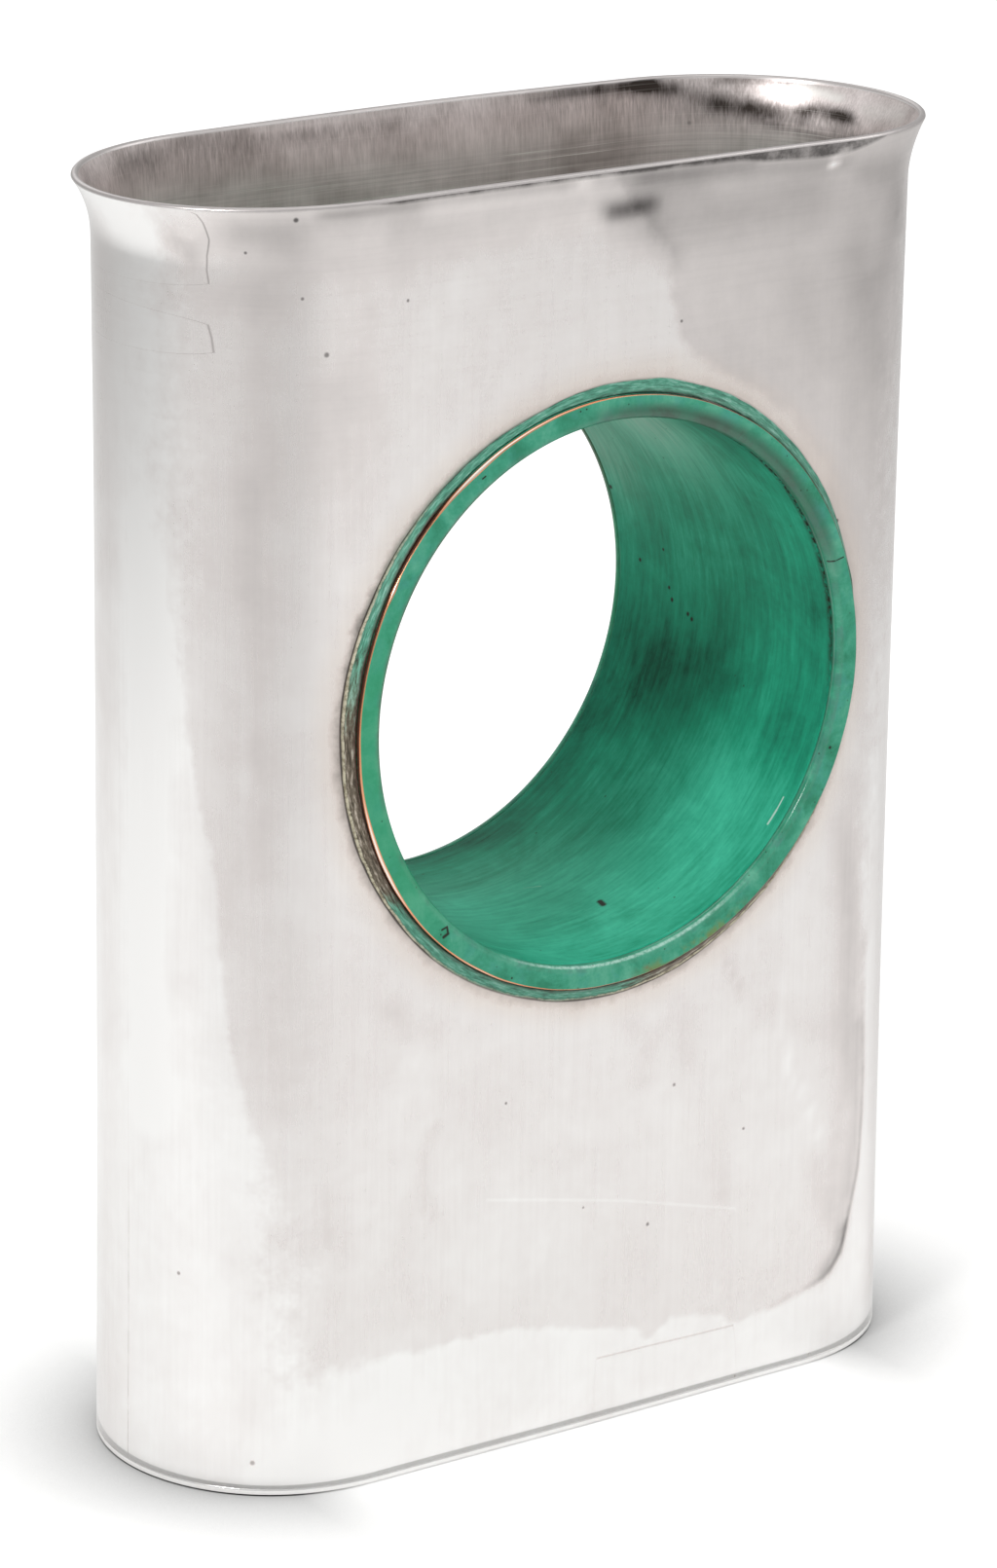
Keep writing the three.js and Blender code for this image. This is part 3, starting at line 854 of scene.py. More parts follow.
def makeOuterBead(name, side, materials, node):
    outer = sleeve["bore"] + sleeve["collarWidth"]
    profile, steps = outerBead["profile"], outerBead["steps"]
    names = ("across", "green", "crust", "oxide")
    rows = []
    for start, height in profile:
        row = []
        for k in range(steps):
            angle = math.tau * k / steps
            x, z = 10 * math.cos(angle), 10 * math.sin(angle)
            ragged = 0.12 * waver(x, side * 7, z, 0.8) + 0.07 * waver(x, side * 4, z, 0.35)
            lump = 1 + 0.18 * waver(x, side * 11, z, 1.6) + 0.10 * waver(x, side * 2, z, 0.5)
            radius = lerp(outer + 0.1, beadEdge(angle, side) + ragged, start)
            px, pz = radius * math.cos(angle), radius * math.sin(angle) + sleeve["height"]
            bed = sideDepth(px, pz)
            rise = max(outerBead["top"] - bed, 1.0) * outerBead["height"]
            depth = bed + height * rise * (lump if start > 0 else 1)
            row.append(Vector((px, side * min(depth, outerBead["limit"]), pz)) * mm)
        rows.append(row)
    bm, rings = growRings(rows, layers=names)
    bmesh.ops.recalc_face_normals(bm, faces=bm.faces)
    layers = [bm.verts.layers.float[key] for key in names]
    for (start, _), ring in zip(profile, rings):
        for k, vert in enumerate(ring):
            worn = ringAt(math.tau * k / steps, side)
            for layer, value in zip(layers, (max(start, 0.0), worn["green"], worn["crust"], worn["oxide"])):
                vert[layer] = value
    return makePiece(name, bm, materials, node)


# solder bead inside the vessel, in the corner between the barrel and the wall
innerBead = {
    "gap": 0.05,            # to the barrel
    "film": 0.15,           # and to the wall
    "profile": [(0.0, 0.05), (0.0, 1.5), (0.3, 1.0), (0.8, 0.45), (1.5, 0.05)],
}


def makeInnerBead(name, side, materials, node):
    start = sleeve["bore"] + sleeve["barrelWall"] + innerBead["gap"]
    rows = []
    for away, drop in innerBead["profile"]:
        row = []
        for k in range(sleeve["turnSteps"]):
            angle = math.tau * k / sleeve["turnSteps"]
            x, z = 10 * math.cos(angle), 10 * math.sin(angle)
            size = 1 + 0.2 * waver(x, side * 15, z, 2) + 0.12 * waver(x, side * 21, z, 0.7)
            radius = start + away * size
            px, pz = radius * math.cos(angle), radius * math.sin(angle) + sleeve["height"]
            depth = sideDepth(px, pz, body["wall"]) - drop * size - innerBead["film"]
            row.append(Vector((px, side * depth, pz)) * mm)
        rows.append(row)
    bm, rings = growRings(rows)
    bmesh.ops.recalc_face_normals(bm, faces=bm.faces)
    return makePiece(name, bm, materials, node)


# a mask that is 1 on small marks: pits where start and end are one place, scratches where not;
# places and half widths in mm
def markMask(tree, spot, marks):
    mask = None
    for start, end, width in marks:
        run = Vector(end) - Vector(start)
        start = addNode(tree, "VectorMath", [spot, Vector(start) * mm], operation="SUBTRACT")
        near = start
        if run.length > 0:
            share = addNode(tree, "VectorMath", [start, run / run.length_squared / mm], operation="DOT_PRODUCT")
            held = addNode(tree, "Clamp", [share.outputs["Value"]])
            along = addNode(tree, "VectorMath", {0: run * mm, 3: held}, operation="SCALE")
            near = addNode(tree, "VectorMath", [start, along], operation="SUBTRACT")
        away = addNode(tree, "VectorMath", [near], operation="LENGTH")
        one = addNode(tree, "MapRange", [away.outputs["Value"], width * 0.5 * mm, width * 1.2 * mm, 1.0, 0.0])
        mask = addNode(tree, "Math", [mask, one], operation="MAXIMUM") if mask else one
    return mask


# sterling silver sheet, rolled, soldered and rubbed down by hand: a soft bright surface
# with cloudy tarnish, faint brushing up and down, and a few pits, and with dark reflections,
# shade and highlights of the room painted into its colour
silverLook = {
    "clean": "#faf9f8",
    "film": "#e5dfdd",      # at a tone of 0.22: thin tarnish is faintly warm
    "stain": "#2f2c2b",     # and as dark as it gets, for tarnish and for painted dark reflections and shade
    "warm": "#f4ebe2",      # beside the ring, from the heat of soldering
    "roughness": 0.17,
    "cloudSize": 30.0,
    "mottleSize": 4.0,
    "brushWidth": 0.7,
    "brushLength": 22.0,
    "brushTurn": (150.0, 180.0),  # brushed up and down below this, and along above it
    "veil": 0.115,          # how much darker the dull area is painted
    "darkReflectionTone": 0.13,
    "darkReflectionHeights": (100.0, 172.0),  # it is full above the second and faint below the first
    "lipTone": 0.95,
    "pitTone": 0.5,
    "seamTone": 0.30,
    "seamAt": -1.2,         # butt seam of the rolled sheet, on the left end
    "seamHeight": 50.0,
    "pits": [
        ((-59.7, -21.3, 5.3), 0.42), ((-66.7, -11.6, 34.6), 0.34), ((-54.9, -25.2, 197.7), 0.42),
        ((-50.1, -26.0, 177.6), 0.42), ((-53.5, -24.8, 186.0), 0.28), ((-60.4, -20.5, 192.7), 0.26),
        ((-37.1, -27.5, 184.3), 0.28), ((-44.8, -27.2, 110.6), 0.30), ((9.5, -27.6, 31.2), 0.34),
        ((12.2, -27.7, 175.2), 0.28), ((43.4, -27.1, 139.8), 0.34), ((14.2, -27.6, 53.4), 0.36),
        ((28.1, -27.5, 43.2), 0.30), ((-3.0, -27.5, 36.7), 0.26), ((-17.8, -27.5, 56.9), 0.26),
        ((18.0, -27.9, 1.3), 0.2), ((27.5, -27.8, 1.3), 0.24), ((29.7, -27.8, 1.4), 0.2),
        ((42.5, -27.7, 1.6), 0.24), ((47.4, -27.2, 1.7), 0.2), ((49.2, -26.9, 1.6), 0.26),
        ((-57.9, -22.9, 1.5), 0.2), ((-51.6, -26.1, 1.4), 0.2),
    ],
}


def makeSilver(name, look, marked):
    made, tree = newMaterial(name)
    spot = addNode(tree, "TexCoord").outputs["Object"]
    axes = addNode(tree, "SeparateXYZ", [spot])
    clouds = addNode(
        tree, "TexNoise",
        {"Vector": spot, "Scale": 1 / (look["cloudSize"] * mm), "Detail": 6.0, "Roughness": 0.6, "Distortion": 0.6},
    )
    mottle = addNode(
        tree, "TexNoise", {"Vector": spot, "Scale": 1 / (look["mottleSize"] * mm), "Detail": 5.0, "Roughness": 0.7},
    )
    wide, long = 1 / (look["brushWidth"] * mm), 1 / (look["brushLength"] * mm)
    standing = addNode(tree, "VectorMath", [spot, (wide, wide, long)], operation="MULTIPLY")
    brushed = addNode(tree, "TexNoise", {"Vector": standing, "Scale": 1.0, "Detail": 3.0, "Roughness": 0.6})
    level = addNode(
        tree, "Mapping", {"Vector": spot, "Rotation": (0, math.radians(5), 0), "Scale": (long, long, wide)},
    )
    rubbed = addNode(tree, "TexNoise", {"Vector": level, "Scale": 1.0, "Detail": 4.0, "Roughness": 0.7})
    # each of these adds to how dark the metal is: tarnish here, and below also painted reflections and shade
    cloudSoft = addNode(tree, "MapRange", [clouds, 0.35, 0.75, -0.02, 0.08])
    mottleSoft = addNode(tree, "MapRange", [mottle, 0.35, 0.75, -0.012, 0.03])
    brushSoft = addNode(tree, "MapRange", [brushed, 0.35, 0.7, -0.008, 0.014])
    rubSoft = addNode(tree, "MapRange", [rubbed, 0.45, 0.75, 0.0, 0.03])
    # it was brushed up and down low on the body, and along under the lip
    turnLow, turnHigh = [height * mm for height in look["brushTurn"]]
    underLip = addNode(tree, "MapRange", [axes.outputs["Z"], turnLow, turnHigh, 0.15, 1.0])
    levelTone = addNode(tree, "Math", [rubSoft, underLip], operation="MULTIPLY")
    belowLip = addNode(tree, "MapRange", [axes.outputs["Z"], turnLow, turnHigh, 1.0, 0.2])
    uprightTone = addNode(tree, "Math", [brushSoft, belowLip], operation="MULTIPLY")
    tones = [cloudSoft, mottleSoft, uprightTone, levelTone]
    warmth = None
    if marked:
        # the tone attribute: strokes of painted dark reflection and shade, less the painted highlights
        tones.append(addNode(tree, "Attribute", attribute_name="tone").outputs["Fac"])
        # the borders of the dull area and of the painted dark reflection wander by about a millimetre
        wander = addNode(tree, "Math", [mottle, 2.4, -1.2], operation="MULTIPLY_ADD")
        dullEdge = addNode(tree, "Attribute", attribute_name="dullEdge").outputs["Fac"]
        dullAt = addNode(tree, "Math", [dullEdge, wander], operation="ADD")
        dull = addNode(tree, "MapRange", [dullAt, -0.5, 0.9, 0.0, look["veil"]], interpolation_type="SMOOTHSTEP")
        # the painted dark reflection on the right, under the lip
        darkReflectionEdge = addNode(tree, "Attribute", attribute_name="darkReflectionEdge").outputs["Fac"]
        cloudAt = addNode(tree, "Math", [darkReflectionEdge, wander], operation="ADD")
        cloudIn = addNode(
            tree, "MapRange", [cloudAt, -0.8, 1.6, 0.0, look["darkReflectionTone"]], interpolation_type="SMOOTHSTEP",
        )
        cloudLow, cloudHigh = [height * mm for height in look["darkReflectionHeights"]]
        lower = addNode(tree, "MapRange", [axes.outputs["Z"], cloudLow, cloudHigh, 0.3, 1.0])
        darkReflection = addNode(tree, "Math", [cloudIn, lower], operation="MULTIPLY")
        # painted shade: the dark line under the lip
        lipEdge = addNode(tree, "Attribute", attribute_name="lipEdge").outputs["Fac"]
        lipIn = addNode(tree, "MapRange", [lipEdge, -0.25, 0.45, 0.0, look["lipTone"]])
        lipShade = addNode(tree, "Math", [lipIn, mottle], operation="MULTIPLY")
        tones += [dull, darkReflection, lipShade]
        # a painted dark reflection: the fine dark line beside the bright metal
        darkReflectionLine = addNode(tree, "Attribute", attribute_name="darkReflectionLine").outputs["Fac"]
        away = addNode(tree, "Math", [dullEdge, dullEdge], operation="MULTIPLY")
        thin = addNode(tree, "Math", [away, -3.0], operation="MULTIPLY")
        sharp = addNode(tree, "Math", [thin], operation="EXPONENT")
        tones.append(addNode(tree, "Math", [sharp, darkReflectionLine], operation="MULTIPLY"))
        for key, (_, _, width, amount) in wearAndPaintedLight["hairlines"].items():
            offset = addNode(tree, "Attribute", attribute_name=key).outputs["Fac"]
            size = addNode(tree, "Math", [offset], operation="ABSOLUTE")
            tones.append(addNode(tree, "MapRange", [size, width * 0.4, width * 1.8, amount, 0.0]))
        # the silver beside the ring is darker in a ragged band outwards, and a fine painted shadow line lies right
        # at the bead's foot
        ringAway = addNode(tree, "Attribute", attribute_name="ringAway").outputs["Fac"]
        smudgeAndShade = addNode(tree, "Attribute", attribute_name="smudgeAndShade").outputs["Fac"]
        ragged = addNode(tree, "Math", [mottle, 3.6, -1.8], operation="MULTIPLY_ADD")
        ringEdge = addNode(tree, "Math", [ringAway, ragged], operation="ADD")
        wideDarkening = addNode(tree, "MapRange", [ringEdge, -0.6, 2.0, 0.90, 0.0], interpolation_type="SMOOTHSTEP")
        footShadow = addNode(tree, "MapRange", [ringAway, 0.05, 0.32, 1.3, 0.0], interpolation_type="SMOOTHSTEP")
        besideRingDarkening = addNode(tree, "Math", [wideDarkening, footShadow], operation="ADD")
        tones.append(addNode(tree, "Math", [besideRingDarkening, smudgeAndShade], operation="MULTIPLY"))
        warmth = addNode(tree, "MapRange", [ringEdge, 0.0, 6.0, 0.6, 0.0], interpolation_type="SMOOTHSTEP")
        # pits, and the butt seam low on the left end
        pitted = markMask(tree, spot, [(place, place, size) for place, size in look["pits"]])
        tones.append(addNode(tree, "Math", [pitted, look["pitTone"]], operation="MULTIPLY"))
        beside = addNode(tree, "Math", [axes.outputs["Y"], look["seamAt"] * mm], operation="SUBTRACT")
        size = addNode(tree, "Math", [beside], operation="ABSOLUTE")
        seam = addNode(tree, "MapRange", [size, 0.04 * mm, 0.14 * mm, look["seamTone"], 0.0])
        onLeft = addNode(tree, "Math", [axes.outputs["X"], 0.0], operation="LESS_THAN")
        ends = addNode(
            tree, "MapRange",
            [axes.outputs["Z"], look["seamHeight"] * 0.7 * mm, look["seamHeight"] * mm, 1.0, 0.15],
        )
        broken = addNode(tree, "MapRange", [mottle, 0.40, 0.55, 0.2, 1.0])
        for factor in (onLeft, ends, broken):
            seam = addNode(tree, "Math", [seam, factor], operation="MULTIPLY")
        tones.append(seam)
    total = tones[0]
    for part in tones[1:]:
        total = addNode(tree, "Math", [total, part], operation="ADD")
    share = addNode(tree, "Clamp", {"Value": total, "Min": 0.0, "Max": 0.88})
    base = addNode(
        tree, "ValToRGB", [share], stops=[(0.0, look["clean"]), (0.22, look["film"]), (1.0, look["stain"])],
    )
    if warmth:
        base = addNode(
            tree, "Mix", {0: warmth, 6: base, 7: toLinear(look["warm"])}, data_type="RGBA", blend_type="MULTIPLY",
        ).outputs[2]
    dulled = addNode(tree, "Math", [share, 0.35, look["roughness"]], operation="MULTIPLY_ADD")
    roughness = addNode(tree, "Math", [brushed, 0.08, dulled], operation="MULTIPLY_ADD")
    heights = addNode(tree, "Math", [brushed, 0.4, mottle], operation="MULTIPLY_ADD")
    bump = addNode(tree, "Bump", {"Height": heights, "Strength": 0.2, "Distance": 0.012 * mm})
    shader = addNode(
        tree, "BsdfPrincipled", {"Base Color": base, "Metallic": 1.0, "Roughness": roughness, "Normal": bump},
    )
    addNode(tree, "OutputMaterial", [shader])
    return made


# the inside was scoured round and round with abrasive paper: duller and warmer, with fine
# level lines and long light scratches, and the flare was brushed up and down after it was
# hammered out; tone is painted shade and dark reflection where it makes the metal darker,
# and painted highlight where it is below 0 and makes it lighter
insideLook = {
    "clean": "#fbf1ef",
    "dark": "#aca19d",
    "shade": "#3d3632",
    "scratch": "#fffdf8",
    "roughness": 0.48,
    "lineHeight": 0.4,
    "lineScale": 20,        # per metre, along the lines
    "brushWidth": 0.35,
    "brushLength": 7.0,
    "stretch": 0.5,         # how far the upright brushing stretches highlights
    "uprightFrom": (190.0, 192.5),  # heights between which the brushing turns upright
    "shinyFrom": (190.0, 198.0),    # and between which it becomes shinier
    "scratchHeight": 0.22,
    "scratchScale": 24,     # per metre, along the scratches
    "scratchTilts": [-3, 5, 9, -12],
    "pits": [((52.2, 24.8, 192.1), 0.55)],
}


def makeInside(name, look):
    made, tree = newMaterial(name)
    spot = addNode(tree, "TexCoord").outputs["Object"]
    axes = addNode(tree, "SeparateXYZ", [spot])
    broad = addNode(tree, "TexNoise", {"Vector": spot, "Scale": 1 / (18 * mm), "Detail": 4.0, "Roughness": 0.6})
    level = addNode(
        tree, "Mapping",
        {
            "Vector": spot, "Rotation": (0, math.radians(1.5), 0),
            "Scale": (look["lineScale"], look["lineScale"], 1 / (look["lineHeight"] * mm)),
        },
    )
    lines = addNode(tree, "TexNoise", {"Vector": level, "Scale": 1.0, "Detail": 5.0, "Roughness": 0.75})
    wide, long = 1 / (look["brushWidth"] * mm), 1 / (look["brushLength"] * mm)
    standing = addNode(tree, "VectorMath", [spot, (wide, wide, long)], operation="MULTIPLY")
    brushed = addNode(tree, "TexNoise", {"Vector": standing, "Scale": 1.0, "Detail": 3.0, "Roughness": 0.65})
    upright = addNode(
        tree, "MapRange", [axes.outputs["Z"], look["uprightFrom"][0] * mm, look["uprightFrom"][1] * mm, 0.25, 1.0],
    )
    marks = addNode(tree, "Mix", {0: upright, 2: lines, 3: brushed})
    across = addNode(tree, "Math", [1.15, upright], operation="SUBTRACT")
    scratches = 0.0
    for tilt in look["scratchTilts"]:
        turn = (math.radians(-tilt / 2), math.radians(tilt), math.radians(tilt * 3))
        tilted = addNode(
            tree, "Mapping",
            {
                "Vector": spot, "Rotation": turn,
                "Scale": (look["scratchScale"], look["scratchScale"], 1 / (look["scratchHeight"] * mm)),
            },
        )
        fine = addNode(tree, "TexNoise", {"Vector": tilted, "Scale": 1.0, "Detail": 2.0, "Roughness": 0.5})
        light = addNode(tree, "MapRange", [fine, 0.66, 0.74, 0.0, 0.8])
        scratches = addNode(tree, "Math", [scratches, light], operation="MAXIMUM")
    scratches = addNode(tree, "Math", [scratches, across], operation="MULTIPLY")
    both = addNode(tree, "Math", [marks, 0.5, broad], operation="MULTIPLY_ADD")
    ground = addNode(tree, "ValToRGB", [both], stops=[(0.55, look["clean"]), (1.0, look["dark"])])
    tone = addNode(tree, "Attribute", attribute_name="tone").outputs["Fac"]
    patchy = addNode(tree, "Math", [marks, 0.5, -0.25], operation="MULTIPLY_ADD")
    toned = addNode(tree, "MapRange", [tone, 0.02, 0.2])
    shaded = addNode(tree, "Math", [toned, patchy, tone], operation="MULTIPLY_ADD", use_clamp=True)
    base = addNode(tree, "Mix", {0: shaded, 6: ground, 7: toLinear(look["shade"])}, data_type="RGBA")
    pitted = markMask(tree, spot, [(place, place, size) for place, size in look["pits"]])
    base = addNode(tree, "Mix", {0: pitted, 6: base.outputs[2], 7: toLinear(look["shade"])}, data_type="RGBA")
    # painted highlights: where the tone is below 0 the colour goes towards the scratch colour
    bright = addNode(tree, "Math", [tone, -1.0], operation="MULTIPLY")
    lit = addNode(tree, "Math", [bright, scratches], operation="MAXIMUM", use_clamp=True)
    base = addNode(tree, "Mix", {0: lit, 6: base.outputs[2], 7: toLinear(look["scratch"])}, data_type="RGBA")
    flared = addNode(
        tree, "MapRange",
        [
            axes.outputs["Z"], look["shinyFrom"][0] * mm, look["shinyFrom"][1] * mm, look["roughness"],
            look["roughness"] - 0.2,
        ],
    )
    roughness = addNode(tree, "Math", [marks, 0.1, flared], operation="MULTIPLY_ADD")
    stretched = addNode(tree, "Math", [upright, look["stretch"]], operation="MULTIPLY")
    heights = addNode(tree, "Math", [scratches, 0.3, marks], operation="MULTIPLY_ADD")
    bump = addNode(tree, "Bump", {"Height": heights, "Strength": 0.5, "Distance": 0.02 * mm})
    shader = addNode(
        tree, "BsdfPrincipled",
        {
            "Base Color": base.outputs[2], "Metallic": 0.85, "Roughness": roughness, "Anisotropic": stretched,
            "Normal": bump,
        },
    )
    addNode(tree, "OutputMaterial", [shader])
    return made


# copper, coloured green in layers with salts brushed on round the bore, then waxed: deep
# glassy green where the wash lay thick, chalky where it dried thin
patinaLook = {
    "deep": "#045943",
    "green": "#219f7e",
    "chalk": "#56dcba",
    "greyDustAndSheen": "#aec2b5",
    "rubbed": "#e2f2ec",
    "grime": "#26231b",
    "middle": 0.44,         # how thin it lies where nothing else is said
    "roughness": 0.52,
    "washSize": 14.0,
    "brushWidth": 1.0,
    "brushLength": 16.0,
    "sweepScale": (260, 1100, 260),  # per metre: the strokes are long two ways and thin one way
    "sweepTurn": (0.5, 0.2, 0.6),
    "grainSize": 0.9,
    "speckSpread": 3.2,
    "pits": [
        ((12.4, -9.5, 78.7), (12.1, -10.9, 78.6), 0.56), ((42.4, 9.1, 116.3), (42.4, 9.1, 116.3), 0.42),
        ((42.5, 14.4, 119.4), (42.5, 14.4, 119.4), 0.36), ((42.5, 13.5, 117.6), (42.5, 13.5, 117.6), 0.42),
        ((42.3, 8.0, 115.7), (42.3, 8.0, 115.7), 0.44), ((42.4, 22.2, 122.2), (42.4, 22.2, 122.2), 0.4),
        ((42.1, 15.6, 125.5), (42.1, 15.6, 125.5), 0.3), ((40.1, 27.4, 133.5), (40.1, 27.4, 133.5), 0.45),
    ],
    "scratches": [((8.0, 5.0, 77.7), (10.1, 3.2, 78.1), 0.12), ((21.5, -1.5, 82.9), (24.6, -4.5, 84.9), 0.10)],
    # painted highlights: glint lines on the bore beside the front collar
    "glintLines": [((35.6, -25.6, 96.1), (34.3, -25.6, 94.2), 0.16), ((34.3, -25.6, 94.2), (32.7, -25.5, 92.3), 0.24)],
}


def makePatina(name, look):
    made, tree = newMaterial(name)
    spot = addNode(tree, "TexCoord").outputs["Object"]
    wash = addNode(
        tree, "TexNoise",
        {"Vector": spot, "Scale": 1 / (look["washSize"] * mm), "Detail": 5.0, "Roughness": 0.6, "Distortion": 0.8},
    )
    wide, long = 1 / (look["brushWidth"] * mm), 1 / (look["brushLength"] * mm)
    turned = addNode(tree, "VectorMath", [spot, (long, wide, long)], operation="MULTIPLY")
    brushed = addNode(
        tree, "TexNoise", {"Vector": turned, "Scale": 1.0, "Detail": 4.0, "Roughness": 0.65, "Distortion": 0.4},
    )
    slanted = addNode(tree, "Mapping", {"Vector": spot, "Rotation": look["sweepTurn"], "Scale": look["sweepScale"]})
    swept = addNode(tree, "TexNoise", {"Vector": slanted, "Scale": 1.0, "Detail": 3.0, "Roughness": 0.6})
    fine = addNode(
        tree, "TexNoise", {"Vector": spot, "Scale": 1 / (look["grainSize"] * mm), "Detail": 3.0, "Roughness": 0.65},
    )
    # the shade marks: partly how thick the green lies, partly painted light and shade in the bore
    shade = addNode(tree, "Attribute", attribute_name="shade").outputs["Fac"]
    level = shade
    for noises, amount in ((wash, 0.7), (brushed, 0.45), (swept, 0.3), (fine, 0.15)):
        level = addNode(tree, "Math", [noises, amount, level], operation="MULTIPLY_ADD")
    level = addNode(tree, "Math", [level, look["middle"] - 0.8], operation="ADD")
    colour = addNode(
        tree, "ValToRGB", [level], stops=[(0.0, look["deep"]), (0.44, look["green"]), (1.0, look["chalk"])],
    )
    # grey dust, and a painted sheen: the floor's grey reflection on the upper right of the bore
    dustAndSheen = addNode(tree, "Attribute", attribute_name="dustAndSheen").outputs["Fac"]
    brushStreaked = addNode(tree, "MapRange", [brushed, 0.35, 0.65, 0.6, 1.0])
    greyDustAndSheen = addNode(tree, "Math", [dustAndSheen, brushStreaked], operation="MULTIPLY")
    # dark specks of a third of a millimetre, here and there
    cells = addNode(tree, "TexVoronoi", {"Vector": spot, "Scale": 1 / (look["speckSpread"] * mm)})
    speck = addNode(tree, "MapRange", [cells.outputs["Distance"], 0.04, 0.08, 0.6, 0.0])
    chosen = addNode(tree, "SeparateXYZ", [cells.outputs["Color"]])
    few = addNode(tree, "Math", [chosen.outputs["X"], 0.8], operation="GREATER_THAN")
    specks = addNode(tree, "Math", [speck, few], operation="MULTIPLY")
    joint = addNode(tree, "Attribute", attribute_name="joint").outputs["Fac"]
    rough = addNode(tree, "MapRange", [fine, 0.38, 0.56, 0.1, 1.0])
    grimy = addNode(tree, "Math", [joint, rough], operation="MULTIPLY")
    dark = addNode(tree, "Math", [grimy, specks], operation="MAXIMUM")
    dark = addNode(tree, "Math", [dark, markMask(tree, spot, look["pits"])], operation="MAXIMUM")
    scratch = addNode(tree, "Math", [markMask(tree, spot, look["scratches"]), 0.35], operation="MULTIPLY")
    # painted highlight: bright glint lines on the bore beside the collar
    glintLine = addNode(tree, "Math", [markMask(tree, spot, look["glintLines"]), 0.7], operation="MULTIPLY")
    pale = addNode(tree, "Math", [scratch, glintLine], operation="MAXIMUM")
    for amount, over in ((greyDustAndSheen, "greyDustAndSheen"), (dark, "grime"), (pale, "rubbed")):
        colour = addNode(tree, "Mix", {0: amount, 6: colour, 7: toLinear(look[over])}, data_type="RGBA").outputs[2]
    heights = addNode(tree, "Math", [dark, -1.5, level], operation="MULTIPLY_ADD")
    bump = addNode(tree, "Bump", {"Height": heights, "Strength": 0.25, "Distance": 0.04 * mm})
    shader = addNode(
        tree, "BsdfPrincipled",
        {"Base Color": colour, "Roughness": look["roughness"], "Specular IOR Level": 0.14, "Normal": bump},
    )
    addNode(tree, "OutputMaterial", [shader])
    return made


# the same patina on the collars, which are handled more: chalkier and mottled on the face,
# rubbed through to bright copper along the rim, with brown oxide beside it
collarLook = {
    "deep": "#2e8868",
    "green": "#3f9f80",
    "pale": "#62b496",
    "blue": "#4b9f96",
    "boreEdgeHighlightTint": "#bfe5d8",
    "fresh": "#35a271",
    "handled": "#54503c",
    "dusk": "#41584a",
    "stain": "#7d8a3e",
    "rust": "#8a5c34",
    "oxide": "#4a2a1d",
    "copper": "#ee9f74",
    "copperHighlight": "#fff3e6",
    "grime": "#222a20",
    "roughness": 0.42,
    "mottleSize": 6.5,
    "patchSize": 3.5,
    "grainSize": 0.6,
    "speckSpread": 1.5,
    "pits": [
        ((-7.4, -29.4, 164.3), (-7.4, -29.4, 164.3), 0.17), ((-6.3, -29.4, 164.5), (-6.3, -29.4, 164.5), 0.17),
        ((-24.9, -29.4, 156.5), (-24.4, -29.4, 156.8), 0.16), ((38.6, -28.9, 134.4), (41.4, -29.5, 134.2), 0.16),
        ((41.4, -29.5, 134.2), (43.0, -29.4, 134.6), 0.13), ((41.5, -29.4, 104.2), (41.5, -29.4, 104.2), 0.3),
        ((39.5, -29.2, 103.5), (39.5, -29.2, 103.5), 0.24), ((-18.4, -29.4, 77.8), (-18.4, -29.4, 77.8), 0.2),
        ((-31.3, -29.4, 87.9), (-30.4, -29.4, 88.2), 0.2), ((-30.4, -29.4, 88.2), (-30.2, -29.4, 87.1), 0.22),
        ((-30.2, -29.4, 87.1), (-31.0, -29.4, 86.7), 0.3), ((-31.5, -29.4, 87.2), (-31.5, -29.4, 87.2), 0.16),
    ],
}


